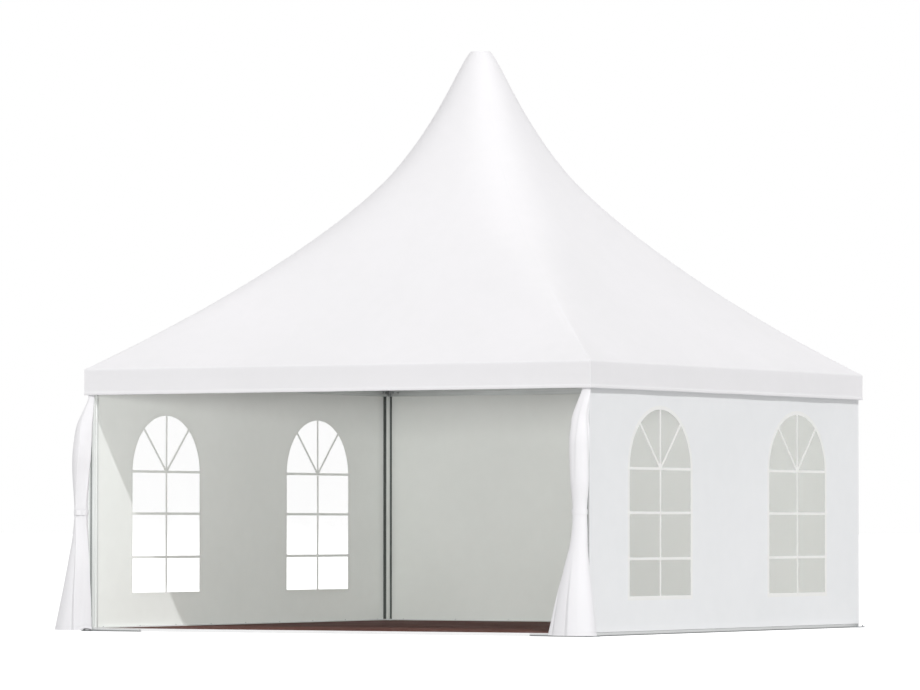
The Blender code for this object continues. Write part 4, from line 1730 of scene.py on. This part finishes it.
    def stitching(self) -> Object:
        """Two rows of stitches above the hem."""
        paths = [self.ring(self.stations[0][0] + lift, self.seam_proud) for lift in self.seams]
        guide, name = guide_lines(paths, closed=True), f"drape_stitches_{self.name}"
        pitch, length, radius = self.seam_thread
        threads = stitch.run(name, guide, THREAD, Pitch=pitch, Length=length, Thread=radius)
        return piece(threads, THREAD)

    def hug(self, bearing: float, height: float) -> float:
        """The radius of a band pulled tight over the folds at a bearing, as a share of the solid's."""
        reach, step = self.band_reach
        turns = range(-reach, reach + 1, step)
        return max(self.swell(bearing + turn, height) for turn in turns) + self.band_clear

    def tie(self) -> None:
        """The band round the waist."""
        low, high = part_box(f"tie_band_{self.name}")
        rows, bearings = [], around_turn(self.band_around, 360.0)
        for share, lift in self.band:
            height = high.z + (low.z - high.z) * share
            rows.append([self.point(b, height, self.hug(b, height) + lift) for b in bearings])
        sheet = sheet_mesh(f"tie_band_{self.name}_dressed", rows, around=True)
        band = shade(thicken(sheet, self.thick, 1.0, even=False))
        piece(band, DRAPE_CLOTH, [f"tie_band_{self.name}"])

    def build(self) -> None:
        low, high = self.stations[0][0], self.stations[0][-1]
        rows = [self.ring(high + (low - high) * i / self.rows) for i in range(self.rows + 1)]
        sheet = sheet_mesh(f"drape_{self.name}", rows, around=True)
        drape = shade(thicken(sheet, self.thick, even=False), 60.0)
        piece(drape, DRAPE_CLOTH, [f"curtain_{self.name}"])
        holders, stitches = ["eave_beam_front", f"post_front_{self.name}"], self.stitching()
        self.tie()


NONE = (0.0,) * 9
LEFT_CREST = (-3.0, -10.0, -17.0, -31.0, -56.0, -29.0, -20.0, -32.0, -40.0)
RIGHT_DRAPE = Drape(
    "right", (1.20, 2.206), 9.0,
    (1.0, 0.985, 0.93, 0.90, 0.85, 0.97, 0.965, 0.96, 0.80),
    (0.0, -0.006, -0.003, 0.0, -0.007, -0.003, 0.002, -0.003, 0.014),
    (
        Pleat((-76.0, -86.0) + (-95.0,) * 7, (-0.33, -0.26, -0.08) + NONE[3:], 18.0, 12.0),
        Pleat(
            (-22.0, -26.0, -31.0, -44.0, -48.0, -38.0, -28.0, -25.0, -45.0),
            (0.15, 0.12, 0.03) + NONE[3:], 8.0, 105.0,
        ),
        Pleat(
            (-35.0, -35.0, -38.0, -48.0, -48.0, -42.0, -35.0, -27.0, -45.0),
            NONE[:5] + (-0.03, -0.08, -0.11, -0.11), 60.0, 12.0,
        ),
        Pleat((96.0,) * 9, NONE[:5] + (0.03, 0.16, 0.27, 0.0), 26.0, 70.0),
    ),
)
LEFT_DRAPE = Drape(
    "left", (1.00, 2.206), 4.0,
    (1.05, 1.04, 1.06, 1.12, 0.99, 1.035, 1.04, 1.08, 0.85),
    (0.003, 0.004, 0.0, -0.008, 0.0, -0.003, -0.0025, -0.010, -0.002),
    (
        Pleat(LEFT_CREST, (0.21, 0.20, 0.15, 0.07, 0.02) + NONE[5:], 7.0, 110.0),
        Pleat(LEFT_CREST, (0.0, 0.0, 0.0, 0.05, 0.11, 0.24, 0.28, 0.22, 0.08), 60.0, 110.0, 46.0),
    ),
    (50.0, 0.016),
)


@dataclass
class Framework:
    """Posts, beams, brackets, plates, rails and the front threshold.

    Sections are (distance outwards from the posts' face, height) points.

    Attributes:
        plan: the frame's places.
        anchor: size of the anchor bolts.
        clamp: size of the brackets' bolts.
        screw: size of the rails' screws.
        anchor_out: distance of the anchor bolts from a post's middle.
        clamps_along: distances of the brackets' bolts from the post.
        clamps_up: their heights above the beams' underside.
        screws: how many screws hold a rail.
        screw_at: distance of the outermost ones from the rail's ends, and of all from the posts' face.
        clear: how far strips and lips stop before what they would meet.
        channel: distance of a post's open channel from its corner, its width and its depth.
        channel_thick: thickness of the grey strip in it, which paints the channel's shade.
        sleeve: length of the sockets at the ends of the front threshold.
        sleeve_section: a socket's section.
        lip_section: the section of the lip under the threshold.
        seal_back: where the dark strip under a rail, which paints the shadow in the gap under it, starts and
            ends outwards.
        seal_front: where the strips under the sockets do.
        seal_high: the strips' underside and top.
    """

    plan: Plan
    anchor: float = 0.010
    clamp: float = 0.007
    screw: float = 0.005
    anchor_out: float = 0.056
    clamps_along: Flat = (0.055, 0.105)
    clamps_up: Flat = (0.035, 0.105)
    screws: int = 9
    screw_at: Flat = (0.2, 0.020)
    clear: float = 0.001
    channel: tuple[float, float, float] = (0.022, 0.0194, 0.0069)
    channel_thick: float = 0.001
    sleeve: float = 0.49
    sleeve_section: tuple[Flat, ...] = (
        (0.003, 0.0086), (0.028, 0.0086), (0.030, 0.0105), (0.030, 0.020), (0.028, 0.022), (0.003, 0.022)
    )
    lip_section: tuple[Flat, ...] = ((0.0006, 0.0004), (0.0024, 0.0004), (0.0024, 0.0150), (0.0006, 0.0158))
    seal_back: Flat = (-0.014, -0.001)
    seal_front: Flat = (0.004, 0.0285)
    seal_high: Flat = (0.0004, 0.0078)

    @property
    def reach(self) -> float:
        """Half the clear distance between two posts."""
        return self.plan.post_face - self.plan.post_wide

    def bolts(
        self,
        name: str,
        points: Sequence[Vector],
        size: float,
        slot: Slot,
        facing: Sequence[Vector] = (),
    ) -> Object:
        """Bolts at given points, as one piece.

        Args:
            name: the piece's name.
            points: where the bolts sit.
            size: the bolts' size, between the radius of a head and that of its washer.
            slot: the slot of their material; not used.
            facing: the way each bolt faces. Upwards if there is none.

        Returns:
            The piece.
        """
        run = bolt.run(name, guide_points(points, facing), ZINC, Size=size)
        return piece(shade(run), ZINC)

    def corner_bolts(self, corner: Corner) -> None:
        """The bolts that hold a foot plate down, and those that clamp two beams to their bracket."""
        middle, out = self.plan.post_face - self.plan.post_wide / 2, self.anchor_out
        ways = ((1, -1), (-1, -1), (-1, 1))
        places = [Vector((middle + x * out, -middle + y * out, self.plan.plate_top)) for x, y in ways]
        places = [corner.turn @ place for place in places]
        self.bolts(f"anchor_bolts_{corner.label}", places, self.anchor, Slot.STEEL)
        places, facing = [], []
        for along in self.clamps_along:
            for up in self.clamps_up:
                height = self.plan.beam_bottom + up
                places.append(corner.turn @ Vector((self.reach - along, -self.reach, height)))
                places.append(corner.turn @ Vector((self.reach, -self.reach + along, height)))
                facing += [corner.turn @ -OUT, corner.turn @ Vector((-1.0, 0.0, 0.0))]
        self.bolts(f"bracket_bolts_{corner.label}", places, self.clamp, Slot.STEEL, facing)

    def rail_screws(self, side: Side) -> Object:
        """The screws on top of a ground rail's inner edge."""
        ends, inwards = self.screw_at
        half, y, last = self.plan.post_face - ends, -self.plan.post_face + inwards, self.screws - 1
        xs = [-half + 2 * half * i / last for i in range(self.screws)]
        places = [side.turn @ Vector((x, y, self.plan.rail_top)) for x in xs]
        return self.bolts(f"rail_screws_{side.label}", places, self.screw, Slot.ALUMINIUM)

    def sleeves(self) -> Object:
        """The short sockets in front of the threshold's two ends."""
        face, reach = self.plan.post_face, self.reach
        spans = [(way * reach, way * (reach - self.sleeve)) for way in (-1, 1)]
        parts = [bar(Side.FRONT, face, self.sleeve_section, span) for span in spans]
        sleeve = bevelled(joined("threshold_sockets", parts), width=0.0006)
        return piece(shade(sleeve), PALE_ANODISED)

    def channel_strips(self, side: Side) -> Object:
        """Grey strips at the bottom of the posts' open channels on a side: painted shade of the deep
        channels.
        """
        half, (inset, wide, deep) = self.plan.post_face, self.channel
        ends = (self.plan.plate_top + self.clear, self.plan.beam_bottom - self.clear)
        strips, thick = [], self.channel_thick
        for way in (-1, 1):
            left, right = (way * (half - inset) + step * wide / 2 for step in (-1, 1))
            section = [(left, deep), (right, deep), (right, deep - thick), (left, deep - thick)]
            strips.append(bar(side, half, section, ends, upright=True))
        return piece(shade(joined(f"post_strip_{side.label}", strips)), PAINTED_SHADOW_STRIP)

    def seal(self, side: Side) -> Object:
        """The dark strip under a ground rail, or under the two sockets at the front: painted shadow in the
        gap beneath them.
        """
        reach, (low, high) = self.reach - self.clear, self.seal_high
        spans, (back, front) = [(-reach, reach)], self.seal_back
        if side is Side.FRONT:
            spans = [(-reach, self.sleeve - reach), (reach - self.sleeve, reach)]
            back, front = self.seal_front
        section = [(back, low), (front, low), (front, high), (back, high)]
        strips = [bar(side, self.plan.post_face, section, span) for span in spans]
        return piece(shade(joined(f"rail_seal_{side.label}", strips)), PAINTED_SHADOW_STRIP)

    def threshold_lip(self) -> Object:
        """The thin lip that closes the gap under the front threshold."""
        reach = self.reach - self.clear
        lip = bar(Side.FRONT, -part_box("front_threshold")[0].y, self.lip_section, (-reach, reach))
        lip.name = "threshold_lip"
        return piece(shade(lip), WHITE_PAINT)

    def dressed(self, node: str, finish: Metal, rounding: float) -> None:
        """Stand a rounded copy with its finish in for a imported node."""
        piece(refined(node, rounding), finish, [node])

    def build(self) -> None:
        """Dress every rigid node of the frame and add its fixings."""
        for corner in Corner:
            self.dressed(f"post_{corner.label}", PALE_ANODISED, rounding=0.0006)
            self.dressed(f"foot_plate_{corner.label}", ZINC, rounding=0.0012)
            self.dressed(f"corner_bracket_{corner.label}", ZINC, rounding=0.0015)
            self.corner_bolts(corner)
        for side in Side:
            across = side in (Side.FRONT, Side.BACK)
            stretch = (3.0, 260.0, 260.0) if across else (260.0, 3.0, 260.0)
            beam, rail = (
                replace(finish, name=f"{finish.name}_{side.label}", stretch=stretch)
                for finish in (ANODISED, PALE_ANODISED)
            )
            self.dressed(f"eave_beam_{side.label}", beam, rounding=0.0015)
            if side is not Side.FRONT:
                self.dressed(f"base_rail_{side.label}", rail, rounding=0.0010)
                self.rail_screws(side)
            self.seal(side)
        self.channel_strips(Side.FRONT)
        self.dressed("front_threshold", WHITE_PAINT, rounding=0.0020)
        self.sleeves()
        self.threshold_lip()


@dataclass
class Mast:
    """The king pole under the peak and the four taut cables that hold it.

    Profiles are (distance along, radius) pairs.

    Attributes:
        rope: radius of the cables.
        lay: length of one turn of their strands.
        strands: how many strands lie in a cable.
        steps: steps along a strand.
        inset: how far the strands stop before the corner and before the hub.
        adjuster: the profile of a cable's turnbuckle, from its corner.
        ferrule: the profile of its clamped end, with distances back from the hub.
        bolt: size of the hub's bolts.
        bolt_circle: how far they lie from the pole's middle.
        hub_up: how far the hub's top is above the cables' lowest point.
    """

    rope: float = 0.004
    lay: float = 0.085
    strands: int = 6
    steps: int = 260
    inset: Flat = (0.03, 0.02)
    adjuster: tuple[Flat, ...] = (
        (0.004, 0.0045), (0.012, 0.0085), (0.030, 0.0085), (0.036, 0.0055), (0.052, 0.0055), (0.056, 0.0100),
        (0.070, 0.0125), (0.156, 0.0125), (0.170, 0.0100), (0.174, 0.0055), (0.200, 0.0055), (0.204, 0.0045),
    )
    ferrule: tuple[Flat, ...] = ((0.075, 0.0045), (0.070, 0.0075), (0.012, 0.0075), (0.003, 0.0045))
    bolt: float = 0.006
    bolt_circle: float = 0.052
    hub_up: float = 0.019

    def ends(self, corner: Corner) -> tuple[Vector, Vector]:
        """A cable's ends, at its corner and at the hub."""
        low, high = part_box("roof_cable_front_right")
        out, hub = high.x - self.rope, low.x + self.rope
        start, end = Vector((out, -out, high.z - self.rope)), Vector((hub, -hub, low.z + self.rope))
        return corner.turn @ start, corner.turn @ end

    def cable(self, corner: Corner) -> Object:
        """One cable, with its turnbuckle and its clamped end."""
        start, end = self.ends(corner)
        long, way = (end - start).length, (end - start).normalized()
        guide = guide_lines([[start + way * self.inset[0], end - way * self.inset[1]]])
        sizes = {"Strands": self.strands, "Lay": self.lay, "Radius": self.rope, "Steps": self.steps}
        wires = strand.run("wires", guide, ZINC, **sizes)
        ferrule = [(long - back, radius) for back, radius in self.ferrule]
        parts = [spindle("adjuster", start, end, self.adjuster), spindle("ferrule", start, end, ferrule)]
        cable = joined(f"mast_cable_{corner.label}", [wires, *parts])
        return piece(shade(cable), ZINC, [f"roof_cable_{corner.label}"])

    def build(self) -> None:
        """Dress the pole, bolt its hub and lay the cables."""
        pole = refined("king_pole", width=0.0012, sharp_degrees=30.0)
        piece(pole, ZINC, ["king_pole"])
        top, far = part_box("roof_cable_front_right")[0].z + self.hub_up, self.bolt_circle
        turns = [math.pi / 4 + turn for turn in around_turn(4)]
        places = [Vector((far * math.cos(a), far * math.sin(a), top)) for a in turns]
        piece(shade(bolt.run("hub_bolts", guide_points(places), ZINC, Size=self.bolt)), ZINC)
        for corner in Corner:
            self.cable(corner)


@dataclass
class FloorDeck:
    """The boarded floor inside the rails.

    Attributes:
        boards: rows of boards between the two edge boards.
        gap: the joint between rows.
        joint: the joint between the two boards of a row.
        clear: how far the edge boards stop before the foot plates.
        rounding: how far the rounding reaches from a board's edges.
        seed: what the boards' shades are drawn from.
    """

    boards: int = 34
    gap: float = 0.004
    joint: float = 0.0015
    clear: float = 0.0003
    rounding: float = 0.0018
    seed: int = 5

    def build(self) -> Object:
        """Lay the boards and round their edges."""
        low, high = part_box("floor_deck")
        edge, thick, middle = high.y, high.z - low.z, (low.z + high.z) / 2
        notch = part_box("foot_plate_front_right")[0].x - self.clear
        pitch = 2 * notch / self.boards
        rows = [Vector((0.0, -notch + pitch * (i + 0.5), middle)) for i in range(self.boards)]
        ends = [Vector((0.0, way * (notch + edge) / 2, middle)) for way in (-1, 1)]
        fixed = {"Thickness": thick, "Joint": self.joint, "Seed": self.seed}
        wide = (pitch - self.gap, edge - notch - self.gap / 2)
        parts = [
            board.run("rows", guide_points(rows), RED_BROWN, Length=2 * edge, Width=wide[0], **fixed),
            board.run("edges", guide_points(ends), RED_BROWN, Length=2 * notch, Width=wide[1], **fixed),
        ]
        deck = joined("floor_boards", parts)
        if "board" not in deck.data.attributes:
            raise ValueError("the boards have no numbers")
        return piece(shade(bevelled(deck, self.rounding)), RED_BROWN, ["floor_deck"])


@dataclass(frozen=True)
class StudioFloor(Finish):
    """The studio's floor, which glows less as light than to the eye.

    Attributes:
        bounce: its glow as the tent's surfaces receive it.
        shown: its glow as the camera sees it.
        greys: the two greys of its patches.
    """

    bounce: float
    shown: float
    greys: Flat = (0.34, 0.36)

    def shader(self, graph: Graph, at: Sockets) -> Socket:
        """A pale grey in faint patches, with its glow."""
        patches = graph.use(cloud, Place=at["Object"], Scale=0.2)
        inputs = {
            "Base Color": graph.mix(patches, *map(grey, self.greys)),
            "Roughness": 0.9,
            "Emission Color": grey(1.0),
            "Emission Strength": graph.ramp(seen_directly(graph), 0.0, 1.0, self.bounce, self.shown),
        }
        return graph.add("ShaderNodeBsdfPrincipled", inputs).outputs[0]


def seen_directly(graph: Graph, *also: str) -> Socket:
    """1 for rays from the camera or through a pane, and for the other kinds that are named."""
    path = graph.add("ShaderNodeLightPath").outputs
    seen = path["Is Camera Ray"]
    for kind in ("Is Transmission Ray", *also):
        seen = graph.math("MAXIMUM", seen, path[kind])
    return seen


@dataclass
class Studio:
    """The pale floor, the light and the camera.

    Attributes:
        place: the camera's place.
        yaw: how far it is turned from looking along +Y, in radians.
        pitch: how far it looks up, in radians.
        lens: its focal length in millimetres on a 36 mm wide sensor.
        ambient: brightness of the sky as the tent's surfaces receive it.
        floor: the floor's finish.
        floor_reach: half the floor's width.
        floor_height: its height, just under the tent.
        sun: strength of the sun.
        sun_from: the direction that the sun is in.
        sun_soft: its apparent size in degrees.
        fill: power of the soft panel in front of the entrance that lights the room.
        fill_from: the middle of that panel.
        fill_aim: the place in the room that it faces.
        fill_size: its width and height.
        fill_colour: its colour.
        indoors: how the names of the pieces that it lights start.
        screened: what stands in the names of the pieces that it passes by and through.
    """

    place: tuple[float, float, float] = (24.41822, -41.7595, 0.90062)
    yaw: float = 0.53291
    pitch: float = 0.03358
    lens: float = 212.83
    ambient: float = 0.43
    floor: StudioFloor = StudioFloor("pale_studio_floor", 0.47, 0.86)
    floor_reach: float = 600.0
    floor_height: float = -0.0006
    sun: float = 2.2
    sun_from: tuple[float, float, float] = (0.463, -0.535, 0.709)
    sun_soft: float = 1.2
    fill: float = 6250.0
    fill_from: tuple[float, float, float] = (16.0, -21.6, 1.4)
    fill_aim: tuple[float, float, float] = (-0.6, 0.6, 1.0)
    fill_size: Flat = (10.0, 3.8)
    fill_colour: Colour = (1.0, 1.035, 0.975)
    indoors: tuple[str, ...] = (
        "wall", "window", "floor", "eave_beam", "post", "base_rail", "king_pole", "mast", "hub",
    )
    screened: str = "_right"

    def camera(self) -> None:
        """Set up the camera at the picture's angle."""
        data = bpy.data.cameras.new("camera")
        data.lens = self.lens
        data.sensor_width = 36.0
        data.clip_end = 2000.0
        camera = link(bpy.data.objects.new("camera", data))
        camera.location = self.place
        camera.rotation_euler = (math.pi / 2 + self.pitch, 0.0, self.yaw)
        bpy.context.scene.camera = camera

    def ground(self) -> None:
        """A wide pale floor just under the tent."""
        far = self.floor_reach
        corners = [(x * far, y * far, self.floor_height) for x, y in ((-1, -1), (1, -1), (1, 1), (-1, 1))]
        mesh = plain_mesh("studio_floor", corners, faces=[(0, 1, 2, 3)])
        mesh.materials.append(self.floor.material())
        new_object("studio_floor", mesh)

    def sky(self) -> None:
        """A white sky that is full bright to the eye and softer as light."""
        world = bpy.data.worlds.new("studio")
        graph = Graph.cleared(world)
        strength = graph.ramp(seen_directly(graph, "Is Glossy Ray"), 0.0, 1.0, self.ambient, 1.0)
        sky = graph.add("ShaderNodeBackground", {"Color": grey(1.0), "Strength": strength})
        graph.add("ShaderNodeOutputWorld", {"Surface": sky.outputs[0]})
        bpy.context.scene.world = world

    @staticmethod
    def lamp(name: str, kind: str, power: float, towards: Vector) -> Object:
        """A light whose back faces a direction.

        Args:
            name: the light's name.
            kind: its type.
            power: its strength.
            towards: the direction from what it lights to the light.

        Returns:
            The light's object.
        """
        data = bpy.data.lights.new(name, kind)
        data.energy = power
        lamp = link(bpy.data.objects.new(name, data))
        lamp.rotation_euler = towards.to_track_quat("Z", "Y").to_euler()
        return lamp

    def room_fill(self) -> None:
        """A soft panel in front of the entrance, unseen itself, that lights the room.

        Its light passes through the right wall and what stands there, and doesn't fall on them.
        """
        away = Vector(self.fill_from) - Vector(self.fill_aim)
        panel = self.lamp("room_fill", "AREA", self.fill, away)
        panel.data.shape = "RECTANGLE"
        panel.data.size, panel.data.size_y = self.fill_size
        panel.data.color = self.fill_colour
        panel.location = self.fill_from
        panel.visible_camera = panel.visible_transmission = panel.visible_glossy = False
        lit, dark = bpy.data.collections.new("room"), bpy.data.collections.new("room_shade")
        for obj in bpy.context.scene.objects:
            if obj.type == "MESH" and self.screened not in obj.name:
                dark.objects.link(obj)
                if obj.name.startswith(self.indoors):
                    lit.objects.link(obj)
        panel.light_linking.receiver_collection = lit
        panel.light_linking.blocker_collection = dark

    def build(self) -> None:
        """Set up the whole studio."""
        self.camera()
        self.ground()
        self.sky()
        self.lamp("sun", "SUN", self.sun, Vector(self.sun_from)).data.angle = math.radians(self.sun_soft)
        self.room_fill()
        bpy.context.scene.view_settings.view_transform = "Standard"


def main() -> None:
    """Build every sub-assembly in turn, then the studio."""
    logging.basicConfig(level=logging.INFO, format="%(name)s %(message)s")
    plan = Plan.read()
    windows = (-1.272, 1.272)
    Canopy(plan).build()
    PeakCap().build()
    WallSheet(plan, Side.RIGHT, windows).build()
    WallSheet(plan, Side.LEFT, windows).build()
    WallSheet(plan, Side.BACK).build()
    Framework(plan).build()
    Mast().build()
    FloorDeck().build()
    RIGHT_DRAPE.build()
    LEFT_DRAPE.build()
    Studio().build()


if __name__ == "__main__":
    main()
